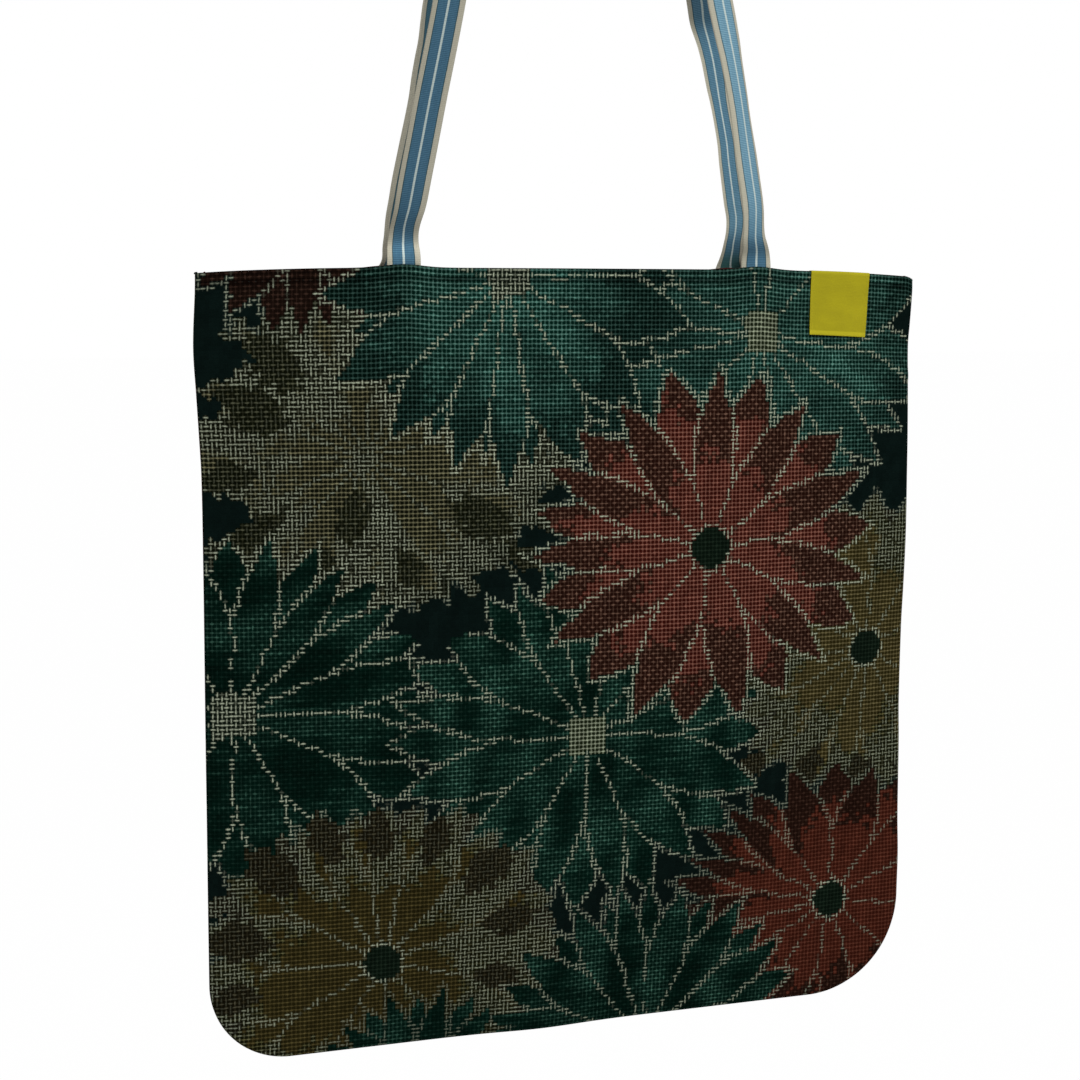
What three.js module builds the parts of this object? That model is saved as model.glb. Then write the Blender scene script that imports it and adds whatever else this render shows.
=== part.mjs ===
// Reversible tote bag: a flat lined bag with rounded lower corners, two webbing handles and a folded label.
// Millimetres, +Z up, +X to the right of the front and +Y to the back.
// The origin is where a hand or a peg holds the bag: midway between the two handles, level with the
// underside of their tops. The bag hangs below it.
import * as THREE from "three";
import { mergeVertices } from "three/addons/utils/BufferGeometryUtils.js";

// Bag outline, seam to seam
const bagWidth = 350;
const bagHeight = 360;
const leftCornerRadius = 37;
const rightCornerRadius = 44;

// Cloth, lining and stiffener
const clothThickness = 0.45;
const liningThickness = 0.4;
const interfacingThickness = 0.3;
const seamAllowance = 10; // width of the turned edge inside each seam
const mouthHem = 15; // depth of the turned edge along the mouth
const turnStep = 0.4; // width over which the second ply of a turned edge begins
const plyGap = 0.3; // air between two plies
const liningInset = 4; // the lining bag is this much smaller at its seams

// How far the bag stands open
const bellyDepth = 15; // bow of each panel away from the seam plane
const flatHalfWidth = 42; // the middle of each panel is flat
const bellyFullHeight = 200; // height above the bottom seam at which the bow is full
const edgePuff = 1.4; // the turned seam makes a rounded edge
const edgeRoll = 6; // width of that rounded edge

// Handles
const handleWidth = 15;
const handleThickness = 1.2;
const handleSpacing = 171; // centre to centre of the two ends of one handle
const handleDrop = 265; // mouth edge to the underside of the top
const handleEndLength = 28; // sewn in between cloth and lining
const handleRise = 12; // stands straight up from the mouth before it leans in
const handleTopFlat = 36; // flat stretch over the hand or peg
const handleTopRadius = 24;
const handleTopGap = 2; // between the two handles at the top
const twistStart = 70; // height above the mouth at which the webbing begins its quarter turn
const pocketRamp = 4; // the lining eases over this width around a sewn-in end

// Label
const labelWidth = 33;
const labelThickness = 0.4;
const labelFrontDrop = 30.5; // hangs this far down the front
const labelInsideDrop = 30; // and this far down the lining
const labelHingeDrop = 1.2; // the flap moves freely below this
const labelSeamDistance = 43; // from the side seam to the middle of the label

// Sewing thread
const seamThreadRadius = 0.25;
const stitchRadius = 0.15;
const stitchGap = 0.25; // air between the row of stitches and the cloth
const stitchDrop = 5; // the row of stitches runs this far below the mouth edge
const outerThreadInset = 0.8;
const liningThreadInset = 6;
const threadSides = 4;

// Mesh density
const cornerSteps = 4;
const bottomSteps = 6;
const bendSteps = 4;
const legSteps = 16;
const topArcSteps = 8;

// Derived sizes
const halfWidth = bagWidth / 2;
const mouthZ = -handleDrop;
const bottomZ = mouthZ - bagHeight;
const seamHalf = plyGap / 2 + 2 * clothThickness; // cloth face to seam plane at the outline
const interfacingDepth = clothThickness + plyGap;
const liningDepth = interfacingDepth + interfacingThickness + plyGap; // from the face of the outer cloth
const handleEndDepth = liningDepth; // cloth face to the near side of a sewn-in end
const pocketHalfWidth = handleWidth / 2 + plyGap;
const pocketDrop = handleEndLength + plyGap;
const pocketDepth = handleEndDepth + handleThickness + plyGap - liningDepth;
const hemStack = liningDepth + 2 * liningThickness; // cloth face to the inside of the lining at the mouth
const stitchSpace = stitchGap * 2 + stitchRadius * 2; // the label lies over the row of stitches

// Plan and height profile of the bow, each 0 at the seam and 1 where the panel is flat
function planRise(x) {
  const share = (halfWidth - Math.abs(x)) / (halfWidth - flatHalfWidth);
  return Math.sin((Math.PI / 2) * THREE.MathUtils.clamp(share, 0, 1));
}

function heightRise(z) {
  return Math.sin((Math.PI / 2) * THREE.MathUtils.clamp((z - bottomZ) / bellyFullHeight, 0, 1));
}

// Rounded edge beside a seam, 0 on the outline and 1 at the width of the roll
function edgeRise(inset) {
  const left = 1 - Math.min(inset / edgeRoll, 1);
  return Math.sqrt(1 - left * left);
}

// Distance from the seam plane to the outer face of the cloth
function faceDepth(x, z, inset) {
  return seamHalf + edgePuff * edgeRise(inset) + bellyDepth * planRise(x) * heightRise(z);
}

// How much the lining gives way around the sewn-in handle ends, from 0 to 1
function pocketRise(x, drop) {
  const beside = Math.abs(Math.abs(x) - handleSpacing / 2) - pocketHalfWidth;
  const below = drop - pocketDrop;
  const across = 1 - THREE.MathUtils.clamp(beside / pocketRamp, 0, 1);
  const down = 1 - THREE.MathUtils.clamp(below / pocketRamp, 0, 1);
  return across * down;
}

// One point of the U-shaped outline, drawn in by an inset, at a station of the list below
function outlinePoint(station, inset) {
  const radius = station.hand < 0 ? leftCornerRadius : rightCornerRadius;
  const tight = radius * (1 - inset / halfWidth);
  const centreX = halfWidth - inset - tight;
  const cornerDrop = bagHeight - inset - tight;
  const straight = bagHeight - halfWidth;
  if (station.part === "side") {
    return { x: station.hand * (halfWidth - inset), drop: station.drop };
  }
  if (station.part === "lower side") {
    return {
      x: station.hand * (halfWidth - inset),
      drop: THREE.MathUtils.lerp(straight, cornerDrop, station.share),
    };
  }
  if (station.part === "corner") {
    return {
      x: station.hand * (centreX + tight * Math.cos(station.angle)),
      drop: cornerDrop + tight * Math.sin(station.angle),
    };
  }
  const leftEnd = -(halfWidth - inset - leftCornerRadius * (1 - inset / halfWidth));
  const rightEnd = halfWidth - inset - rightCornerRadius * (1 - inset / halfWidth);
  return { x: THREE.MathUtils.lerp(leftEnd, rightEnd, station.share), drop: bagHeight - inset };
}

// Stations from the left end of the mouth, round the bottom, to the right end of the mouth
function outlineStations(topDrop) {
  const straight = bagHeight - halfWidth;
  const drops = [0, mouthHem, mouthHem + turnStep, pocketDrop, pocketDrop + pocketRamp, 85, 135, straight];
  const kept = [topDrop, ...drops.filter((drop) => drop > topDrop + turnStep)];
  const half = (hand) => [
    ...kept.map((drop) => ({ part: "side", hand, drop })),
    { part: "lower side", hand, share: 0.5 },
    ...Array.from({ length: cornerSteps }, (_, i) => ({
      part: "corner",
      hand,
      angle: ((Math.PI / 2) * i) / cornerSteps,
    })),
  ];
  const bottom = Array.from({ length: bottomSteps + 1 }, (_, i) => ({
    part: "bottom",
    hand: 0,
    share: i / bottomSteps,
  }));
  return [...half(-1), ...bottom, ...half(1).reverse()];
}

// Insets of the rings between the outline and the middle line of the panel
function ringInsets(first) {
  const pocketMiddle = halfWidth - handleSpacing / 2;
  const insets = [
    0, 1.5, liningInset, edgeRoll,
    seamAllowance, seamAllowance + turnStep,
    liningInset + seamAllowance, liningInset + seamAllowance + turnStep,
    34, 56,
    pocketMiddle - pocketHalfWidth - pocketRamp, pocketMiddle - pocketHalfWidth,
    pocketMiddle + pocketHalfWidth, pocketMiddle + pocketHalfWidth + pocketRamp,
    halfWidth - flatHalfWidth, halfWidth,
  ];
  return [first, ...insets.filter((inset) => inset > first + turnStep / 2)];
}

// Turns a geometry whose faces point inwards the right way round, and drops faces that have no area
function closedGeometry(positions, faces) {
  const loose = new THREE.BufferGeometry();
  loose.setAttribute("position", new THREE.Float32BufferAttribute(positions, 3));
  loose.setIndex(faces);
  const merged = mergeVertices(loose, 1e-3);
  const index = merged.index.array;
  const corner = new THREE.Vector3();
  const at = (i) => corner.clone().fromBufferAttribute(merged.attributes.position, i);
  const kept = [];
  let volume = 0;
  for (let i = 0; i < index.length; i += 3) {
    const [a, b, c] = [index[i], index[i + 1], index[i + 2]];
    if (a === b || b === c || c === a) continue;
    kept.push(a, b, c);
    volume += at(a).dot(at(b).cross(at(c)));
  }
  if (volume < 0) kept.reverse();
  merged.setIndex(kept);
  return merged;
}

// A sheet of cloth between two depths below the outer face, on the front (-1) or back (+1) of the bag
function panelGeometry(side, firstInset, topDrop, near, far) {
  const stations = outlineStations(topDrop);
  const rings = ringInsets(firstInset);
  const positions = [];
  const faces = [];
  const perSkin = stations.length * rings.length;
  for (const depth of [near, far]) {
    for (const inset of rings) {
      for (const station of stations) {
        const { x, drop } = outlinePoint(station, inset);
        const z = mouthZ - drop;
        positions.push(x, side * (faceDepth(x, z, inset) - depth(x, drop, inset)), z);
      }
    }
  }
  const id = (skin, ring, station) => skin * perSkin + ring * stations.length + station;
  const quad = (a, b, c, d) => faces.push(a, b, c, a, c, d);
  const lastRing = rings.length - 1;
  const lastStation = stations.length - 1;
  for (let r = 0; r < lastRing; r++) {
    for (let s = 0; s < lastStation; s++) {
      quad(id(0, r, s), id(0, r, s + 1), id(0, r + 1, s + 1), id(0, r + 1, s));
      quad(id(1, r, s), id(1, r + 1, s), id(1, r + 1, s + 1), id(1, r, s + 1));
    }
    quad(id(0, r, 0), id(0, r + 1, 0), id(1, r + 1, 0), id(1, r, 0));
    quad(id(0, r, lastStation), id(1, r, lastStation), id(1, r + 1, lastStation), id(0, r + 1, lastStation));
  }
  for (let s = 0; s < lastStation; s++) {
    quad(id(0, 0, s), id(1, 0, s), id(1, 0, s + 1), id(0, 0, s + 1));
  }
  return closedGeometry(positions, faces);
}

// A solid skinned over a row of sections with the same number of corners, closed at both ends
function loftGeometry(sections) {
  const corners = sections[0].length;
  const positions = sections.flat().flatMap((point) => point.toArray());
  const faces = [];
  for (let s = 0; s < sections.length - 1; s++) {
    for (let c = 0; c < corners; c++) {
      const next = (c + 1) % corners;
      const [a, b] = [s * corners + c, s * corners + next];
      faces.push(a, b, b + corners, a, b + corners, a + corners);
    }
  }
  const last = (sections.length - 1) * corners;
  for (let c = 1; c < corners - 1; c++) {
    faces.push(0, c + 1, c, last, last + c, last + c + 1);
  }
  return closedGeometry(positions, faces);
}

// A thread along a row of points, with a direction that is never along the thread
function threadGeometry(points, radius, reference) {
  const sections = points.map((point, i) => {
    const next = points[Math.min(i + 1, points.length - 1)];
    const last = points[Math.max(i - 1, 0)];
    const along = next.clone().sub(last).normalize();
    const sideways = reference.clone().cross(along).normalize();
    const upwards = along.clone().cross(sideways);
    return Array.from({ length: threadSides }, (_, c) => {
      const angle = (Math.PI * 2 * (c + 0.5)) / threadSides;
      const corner = point.clone().addScaledVector(sideways, radius * Math.cos(angle));
      return corner.addScaledVector(upwards, radius * Math.sin(angle));
    });
  });
  return loftGeometry(sections);
}

// The thread that joins the front and the back of a bag along its outline, at an inset
function seamThreadGeometry(inset) {
  const points = outlineStations(0).map((station) => {
    const { x, drop } = outlinePoint(station, inset);
    return new THREE.Vector3(x, 0, mouthZ - Math.max(drop, plyGap));
  });
  return threadGeometry(points, seamThreadRadius, new THREE.Vector3(0, 1, 0));
}

// The row of stitches along the mouth, on a skin at a depth below the outer face
function mouthStitchGeometry(side, firstInset, depth) {
  const insets = ringInsets(firstInset).filter((inset) => inset < halfWidth);
  const left = insets.map((inset) => inset - halfWidth);
  const right = left.map((x) => -x).reverse();
  const points = [...left, 0, ...right].map((x) => {
    const inset = halfWidth - Math.abs(x);
    const away = faceDepth(x, mouthZ, inset) - depth(x, stitchDrop, inset);
    return new THREE.Vector3(x, side * away, mouthZ - stitchDrop);
  });
  return threadGeometry(points, stitchRadius, new THREE.Vector3(0, 0, 1));
}

// Webbing corners around a point of its middle line. The turn is 0 where its face looks along the depth
// axis and a quarter turn where its face looks out of the loop.
function webbingSection(x, depth, z, alongX, alongZ, turn, side) {
  const middle = new THREE.Vector3(x, side * depth, z);
  const along = new THREE.Vector3(alongX, 0, alongZ).normalize();
  const outOfLoop = new THREE.Vector3(-along.z, 0, along.x);
  const face = new THREE.Vector3(0, side, 0).multiplyScalar(Math.cos(turn));
  face.addScaledVector(outOfLoop, Math.sin(turn));
  const across = face.clone().cross(along);
  const halfFace = face.multiplyScalar(handleThickness / 2);
  const halfAcross = across.multiplyScalar(handleWidth / 2);
  return [[1, 1], [-1, 1], [-1, -1], [1, -1]].map(([w, t]) =>
    middle.clone().addScaledVector(halfAcross, w).addScaledVector(halfFace, t),
  );
}

// Slope of the panel in plan where the handles and the label sit
function planSlope(x) {
  const step = 0.5;
  const before = faceDepth(x - step, mouthZ, edgeRoll);
  const after = faceDepth(x + step, mouthZ, edgeRoll);
  return Math.atan((before - after) / (2 * step));
}

const handleX = handleSpacing / 2;
const handleBaseDepth = faceDepth(handleX, mouthZ, edgeRoll) - handleEndDepth - handleThickness / 2;
const handleTopDepth = handleTopGap / 2 + handleWidth / 2;
const handleBaseTurn = planSlope(handleX);

// Middle line of the left half of a handle, from its base to the left end of its flat top
function handleHalfLine() {
  const centre = new THREE.Vector2(-handleTopFlat / 2, handleThickness / 2 - handleTopRadius);
  const bendMiddle = new THREE.Vector2(-handleX, mouthZ + handleRise);
  const toCentre = centre.clone().sub(bendMiddle);
  const lean = Math.atan2(toCentre.x, toCentre.y) - Math.asin(handleTopRadius / toCentre.length());
  const legEnd = new THREE.Vector2(
    centre.x - handleTopRadius * Math.cos(lean),
    centre.y + handleTopRadius * Math.sin(lean),
  );
  const bendReach = handleRise / 2;
  const line = [{ x: -handleX, z: mouthZ + plyGap, lean: 0 }];
  for (let i = 0; i <= bendSteps; i++) {
    const share = i / bendSteps;
    line.push({
      x: bendMiddle.x + Math.sin(lean) * bendReach * share * share,
      z: bendMiddle.y + bendReach * (share * 2 - 1),
      lean: lean * share,
    });
  }
  const bendEnd = line[line.length - 1];
  for (let i = 1; i <= legSteps; i++) {
    const share = i / legSteps;
    line.push({
      x: THREE.MathUtils.lerp(bendEnd.x, legEnd.x, share),
      z: THREE.MathUtils.lerp(bendEnd.z, legEnd.y, share),
      lean,
    });
  }
  for (let i = 1; i <= topArcSteps; i++) {
    const angle = THREE.MathUtils.lerp(lean, Math.PI / 2, i / topArcSteps);
    line.push({
      x: centre.x - handleTopRadius * Math.cos(angle),
      z: centre.y + handleTopRadius * Math.sin(angle),
      lean: angle,
    });
  }
  return line;
}

// Turn of the webbing at a height, from the slope of the panel to a quarter turn at the top arc
function handleTurn(z, arcStartZ) {
  const share = THREE.MathUtils.smoothstep(z, mouthZ + twistStart, arcStartZ);
  return THREE.MathUtils.lerp(handleBaseTurn, Math.PI / 2, share);
}

function handleGeometry(side) {
  const half = handleHalfLine();
  const arcStartZ = half[half.length - 1 - topArcSteps].z;
  const rise = (z) => THREE.MathUtils.smoothstep(z, mouthZ, arcStartZ);
  const leg = (hand) => half.map(({ x, z, lean }) => {
    const depth = THREE.MathUtils.lerp(handleBaseDepth, handleTopDepth, rise(z));
    const turn = handleTurn(z, arcStartZ);
    return webbingSection(-hand * x, depth, z, Math.sin(lean), -hand * Math.cos(lean), turn, side);
  });
  return loftGeometry([...leg(-1), ...leg(1).reverse()]);
}

// The end of a handle that is sewn in between the cloth and the lining
function handleEndGeometry(side, hand) {
  const heights = [mouthZ - handleEndLength, mouthZ];
  return loftGeometry(
    heights.map((z) => webbingSection(hand * handleX, handleBaseDepth, z, 0, -hand, handleBaseTurn, side)),
  );
}

// Places a piece drawn in the label's own frame: x along the mouth, y inwards from the cloth face, z up
const labelX = halfWidth - labelSeamDistance;
const labelSlope = planSlope(labelX);
function placeLabel(mesh) {
  mesh.position.set(labelX, -faceDepth(labelX, mouthZ, edgeRoll), mouthZ);
  mesh.rotation.z = labelSlope;
  return mesh;
}

// The part of the label that is folded over the mouth edge and runs down the lining
function labelFoldGeometry() {
  const near = -stitchSpace;
  const far = hemStack + stitchSpace;
  const middle = (near + far) / 2;
  const inner = (far - near) / 2;
  const outer = inner + labelThickness;
  const profile = new THREE.Shape();
  profile.moveTo(near - labelThickness, -labelHingeDrop);
  profile.lineTo(near - labelThickness, 0);
  profile.absarc(middle, 0, outer, Math.PI, 0, true);
  profile.lineTo(far + labelThickness, -labelInsideDrop);
  profile.lineTo(far, -labelInsideDrop);
  profile.lineTo(far, 0);
  profile.absarc(middle, 0, inner, 0, Math.PI, false);
  profile.lineTo(near, -labelHingeDrop);
  profile.closePath();
  const settings = { depth: labelWidth, bevelEnabled: false, curveSegments: 8 };
  const geometry = new THREE.ExtrudeGeometry(profile, settings);
  geometry.translate(0, 0, -labelWidth / 2);
  geometry.rotateX(Math.PI / 2);
  geometry.rotateZ(Math.PI / 2);
  return geometry;
}

// The free flap of the label, in front of the cloth
function labelFlapGeometry() {
  const top = -labelHingeDrop - plyGap;
  const height = labelFrontDrop + top;
  const geometry = new THREE.BoxGeometry(labelWidth, labelThickness, height);
  geometry.translate(0, -stitchSpace - labelThickness / 2, top - height / 2);
  return geometry;
}

// Finishes
const finish = (color, roughness) => new THREE.MeshStandardMaterial({ color, roughness, metalness: 0 });
const patternedCloth = finish(0x1d3a36, 0.85);
const plainLining = finish(0x4a1a1c, 0.8);
const stiffener = finish(0xd9d4c8, 0.95);
const stripedWebbing = finish(0x5b86ad, 0.75);
const yellowRibbon = finish(0xb9a81c, 0.6);
const darkThread = finish(0x16201f, 0.7);
const redThread = finish(0x3c1517, 0.7);

const bag = new THREE.Group();
function addPiece(name, geometry, material) {
  const mesh = new THREE.Mesh(geometry, material);
  mesh.name = name;
  bag.add(mesh);
  return mesh;
}

// A turned edge has two plies beside the seam and along the mouth, and one ply elsewhere
const plies = (inset, drop, edge) => (inset <= edge + seamAllowance || drop <= mouthHem ? 2 : 1);
const outerFar = (x, drop, inset) => clothThickness * plies(inset, drop, 0);
const liningNear = (x, drop) => liningDepth + pocketDepth * pocketRise(x, drop);
const liningFar = (x, drop, inset) =>
  liningNear(x, drop) + liningThickness * plies(inset, drop, liningInset);
const interfacingInset = seamAllowance + turnStep + plyGap;
const interfacingDrop = mouthHem + turnStep + plyGap;
const interfacingNear = () => interfacingDepth;
const interfacingFar = () => interfacingDepth + interfacingThickness;
const outerStitch = () => -stitchGap - stitchRadius;
const insideStitch = (x, drop, inset) => liningFar(x, drop, inset) + stitchGap + stitchRadius;

for (const [word, endWord, side] of [["front", "front", -1], ["back", "rear", 1]]) {
  const outer = panelGeometry(side, 0, 0, () => 0, outerFar);
  const interfacing = panelGeometry(side, interfacingInset, interfacingDrop, interfacingNear, interfacingFar);
  const lining = panelGeometry(side, liningInset, 0, liningNear, liningFar);
  addPiece(`outer_${word}_panel`, outer, patternedCloth);
  addPiece(`${word}_interfacing`, interfacing, stiffener);
  addPiece(`lining_${word}_panel`, lining, plainLining);
  addPiece(`${endWord}_handle_webbing`, handleGeometry(side), stripedWebbing);
  addPiece(`${endWord}_handle_left_end`, handleEndGeometry(side, -1), stripedWebbing);
  addPiece(`${endWord}_handle_right_end`, handleEndGeometry(side, 1), stripedWebbing);
  addPiece(`${word}_mouth_stitch_outside`, mouthStitchGeometry(side, edgeRoll, outerStitch), darkThread);
  addPiece(`${word}_mouth_stitch_inside`, mouthStitchGeometry(side, seamAllowance, insideStitch), redThread);
}
addPiece("outer_seam_thread", seamThreadGeometry(outerThreadInset), darkThread);
addPiece("lining_seam_thread", seamThreadGeometry(liningThreadInset), redThread);
placeLabel(addPiece("label_fold", labelFoldGeometry(), yellowRibbon));
placeLabel(addPiece("label_flap", labelFlapGeometry(), yellowRibbon));

export default bag;
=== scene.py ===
import math
import random

import bmesh
import bpy
import numpy
from mathutils import Matrix, Vector


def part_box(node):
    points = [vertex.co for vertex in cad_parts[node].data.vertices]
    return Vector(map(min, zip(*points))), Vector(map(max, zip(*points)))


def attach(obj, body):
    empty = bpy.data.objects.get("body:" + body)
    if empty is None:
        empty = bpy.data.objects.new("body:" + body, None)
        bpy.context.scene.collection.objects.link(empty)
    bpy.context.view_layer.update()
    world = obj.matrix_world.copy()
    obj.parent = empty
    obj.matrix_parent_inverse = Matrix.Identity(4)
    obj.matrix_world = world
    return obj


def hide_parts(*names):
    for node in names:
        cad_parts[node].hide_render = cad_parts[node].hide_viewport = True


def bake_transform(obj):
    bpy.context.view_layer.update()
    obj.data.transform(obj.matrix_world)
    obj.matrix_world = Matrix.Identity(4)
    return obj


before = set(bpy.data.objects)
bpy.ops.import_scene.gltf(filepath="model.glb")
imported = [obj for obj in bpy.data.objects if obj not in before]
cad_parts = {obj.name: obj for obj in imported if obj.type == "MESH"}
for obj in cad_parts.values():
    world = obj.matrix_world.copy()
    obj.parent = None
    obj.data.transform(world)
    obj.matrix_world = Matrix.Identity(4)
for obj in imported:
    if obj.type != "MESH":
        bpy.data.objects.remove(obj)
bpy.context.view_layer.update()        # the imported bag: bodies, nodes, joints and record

mm = .001


# Shader maths: a Sock is one output that can stand in a sum, a Finish is a material being wired
class Sock:
    def __init__(self, finish, output):
        self.finish = finish
        self.output = output

    def __add__(self, other):
        return self.finish.maths("ADD", self, other)

    def __sub__(self, other):
        return self.finish.maths("SUBTRACT", self, other)

    def __rsub__(self, other):
        return self.finish.maths("SUBTRACT", other, self)

    def __mul__(self, other):
        return self.finish.maths("MULTIPLY", self, other)

    def __truediv__(self, other):
        return self.finish.maths("DIVIDE", self, other)

    __radd__ = __add__
    __rmul__ = __mul__


class Finish:
    def __init__(self, name):
        self.material = bpy.data.materials.new(name)
        self.material.use_nodes = True
        self.tree = self.material.node_tree
        self.tree.nodes.clear()
        self.end = self.tree.nodes.new("ShaderNodeOutputMaterial")
        self.skin = self.tree.nodes.new("ShaderNodeBsdfPrincipled")
        self.tree.links.new(self.skin.outputs[0], self.end.inputs["Surface"])

    def node(self, kind, settings=None, sockets=None, out=0):
        made = self.tree.nodes.new(kind)
        for name, value in (settings or {}).items():
            setattr(made, name, value)
        for name, value in (sockets or {}).items():
            self.feed(made.inputs[name], value)
        return Sock(self, made.outputs[out])

    def feed(self, socket, value):
        if isinstance(value, Sock):
            self.tree.links.new(value.output, socket)
        else:
            socket.default_value = value

    def parts(self, value, kind="XYZ"):  # the numbers in a vector, or in a colour if kind is Color
        split = self.node(f"ShaderNodeSeparate{kind}", {}, {0: value})
        return [Sock(self, output) for output in split.output.node.outputs]

    def mapped(self, name):  # a UV map, and its two numbers
        place = self.node("ShaderNodeUVMap", {"uv_map": name})
        return (place, *self.parts(place)[:2])

    def attribute(self, name, out=0):
        return self.node("ShaderNodeAttribute", {"attribute_name": name}, {}, out)

    def maths(self, operation, *values, clamp=False):
        settings = {"operation": operation, "use_clamp": clamp}
        return self.node("ShaderNodeMath", settings, dict(enumerate(values)))

    def clamped(self, value):
        return self.maths("ADD", value, 0, clamp=True)

    def larger(self, first, second):
        return self.maths("MAXIMUM", first, second)

    def size(self, value):
        return self.maths("ABSOLUTE", value)

    def wave(self, value):
        return self.maths("SINE", value)

    def mix(self, factor, first, second):
        return self.node("ShaderNodeMix", {"data_type": "RGBA"}, {0: factor, 6: first, 7: second}, 2)

    def tinted(self, colour, factor):
        return self.node("ShaderNodeVectorMath", {"operation": "SCALE"}, {0: colour, "Scale": factor})

    def noise(self, vector, scale, detail, stretch=None, dimensions="2D"):
        if stretch:
            vector = self.node("ShaderNodeVectorMath", {"operation": "MULTIPLY"}, {0: vector, 1: stretch})
        return self.node("ShaderNodeTexNoise", {"noise_dimensions": dimensions},
                         {"Vector": vector, "Scale": scale, "Detail": detail})

    def wear(self, colour, roughness, shine):
        for name, value in (("Base Color", colour), ("Roughness", roughness), ("Specular IOR Level", shine)):
            self.feed(self.skin.inputs[name], value)

    def bump(self, height, strength, distance):
        made = self.node("ShaderNodeBump", {}, {"Height": height, "Strength": strength, "Distance": distance})
        self.feed(self.skin.inputs["Normal"], made)


def linear(red, green, blue):  # screen values 0 to 255 as light
    def one(value):
        share = value / 255
        return share / 12.92 if share <= .04045 else ((share + .055) / 1.055) ** 2.4
    return (one(red), one(green), one(blue), 1)


def addObject(name, data):
    made = bpy.data.objects.new(name, data)
    bpy.context.scene.collection.objects.link(made)
    return made


def addPiece(name, mesh, finish, slotName, *nodes):
    made = addObject(name, mesh)
    mesh.materials.append(finish.material)
    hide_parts(*nodes)
    return made


def addToBag(*piece):
    made = addPiece(*piece)
    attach(made, "bag")
    return made


def meshFrom(name, shape):
    mesh = bpy.data.meshes.new(name)
    shape.to_mesh(mesh)
    shape.free()
    return mesh


def smoothMesh(name, shape):
    for face in shape.faces:
        face.smooth = True
    return meshFrom(name, shape)


# Camera, lamps and floor
studio = {
    "eye": (-.2962, -.8623, -.2773),
    "target": (-.01655, 0, -.3882),
    "roll": .065,
    "lens": 64.9,
    "floorHeight": -1.15,
    "floorSize": 60,
    "floorGrey": .86,
    "floorWhite": .99,      # share of plain white that the camera sees on the floor
    "worldLevel": .42,
    "keyPower": 17,
    "fillPower": 3,
    "backPower": 9,
}


def aimed(place, target):
    look = Vector(target) - Vector(place)
    return Matrix.Translation(place) @ look.to_track_quat("-Z", "Y").to_matrix().to_4x4()


def setCamera():
    lensData = bpy.data.cameras.new("camera")
    lensData.lens = studio["lens"]
    lensData.sensor_width = 36
    lensData.clip_end = 200
    eye = addObject("camera", lensData)
    roll = Matrix.Rotation(math.radians(studio["roll"]), 4, "Z")
    eye.matrix_world = aimed(studio["eye"], studio["target"]) @ roll
    bpy.context.scene.camera = eye


def addLamp(name, place, target, size, power):
    lampData = bpy.data.lights.new(name, "AREA")
    lampData.shape = "RECTANGLE"
    lampData.size, lampData.size_y = size
    lampData.energy = power
    addObject(name, lampData).matrix_world = aimed(place, target)


def setWorld():  # soft light from all round, and plain white behind the bag
    world = bpy.data.worlds.new("studio")
    bpy.context.scene.world = world
    world.use_nodes = True
    tree = world.node_tree
    tree.nodes.clear()
    kinds = ("OutputWorld", "LightPath", "Math", "Background", "Background", "MixShader")
    end, path, seen, sky, white, mix = (tree.nodes.new(f"ShaderNode{kind}") for kind in kinds)
    seen.operation = "MAXIMUM"
    sky.inputs["Strength"].default_value = studio["worldLevel"]
    for backdrop in (sky, white):
        backdrop.inputs["Color"].default_value = (1, 1, 1, 1)
    for output, socket in (
        (path.outputs["Is Camera Ray"], seen.inputs[0]),
        (path.outputs["Is Glossy Ray"], seen.inputs[1]),
        (seen.outputs[0], mix.inputs[0]),
        (sky.outputs[0], mix.inputs[1]),
        (white.outputs[0], mix.inputs[2]),
        (mix.outputs[0], end.inputs["Surface"]),
    ):
        tree.links.new(output, socket)


def setFloor():
    finish = Finish("paleFloor")
    finish.wear((studio["floorGrey"],) * 3 + (1,), .9, .5)
    seen = finish.node("ShaderNodeLightPath", {}, {}, "Is Camera Ray") * studio["floorWhite"]
    skin = Sock(finish, finish.skin.outputs[0])
    white = finish.node("ShaderNodeEmission")
    mix = finish.node("ShaderNodeMixShader", {}, {0: seen, 1: skin, 2: white})
    finish.feed(finish.end.inputs["Surface"], mix)
    shape = bmesh.new()
    bmesh.ops.create_grid(shape, x_segments=1, y_segments=1, size=studio["floorSize"] / 2)
    bmesh.ops.translate(shape, verts=shape.verts, vec=(0, 0, studio["floorHeight"]))
    floor = addObject("floor", meshFrom("floor", shape))
    floor.data.materials.append(finish.material)


bpy.context.scene.view_settings.view_transform = "Standard"
setCamera()
setWorld()
setFloor()
addLamp("keyLamp", (.35, -1.3, .75), (0, 0, -.3), (1.4, 1.0), studio["keyPower"])
addLamp("fillLamp", (-1.5, -.9, .1), (0, 0, -.4), (1.0, 1.4), studio["fillPower"])
addLamp("backLamp", (.3, 1.6, .6), (0, 0, -.35), (1.4, 1.2), studio["backPower"])
print("studio set")


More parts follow.
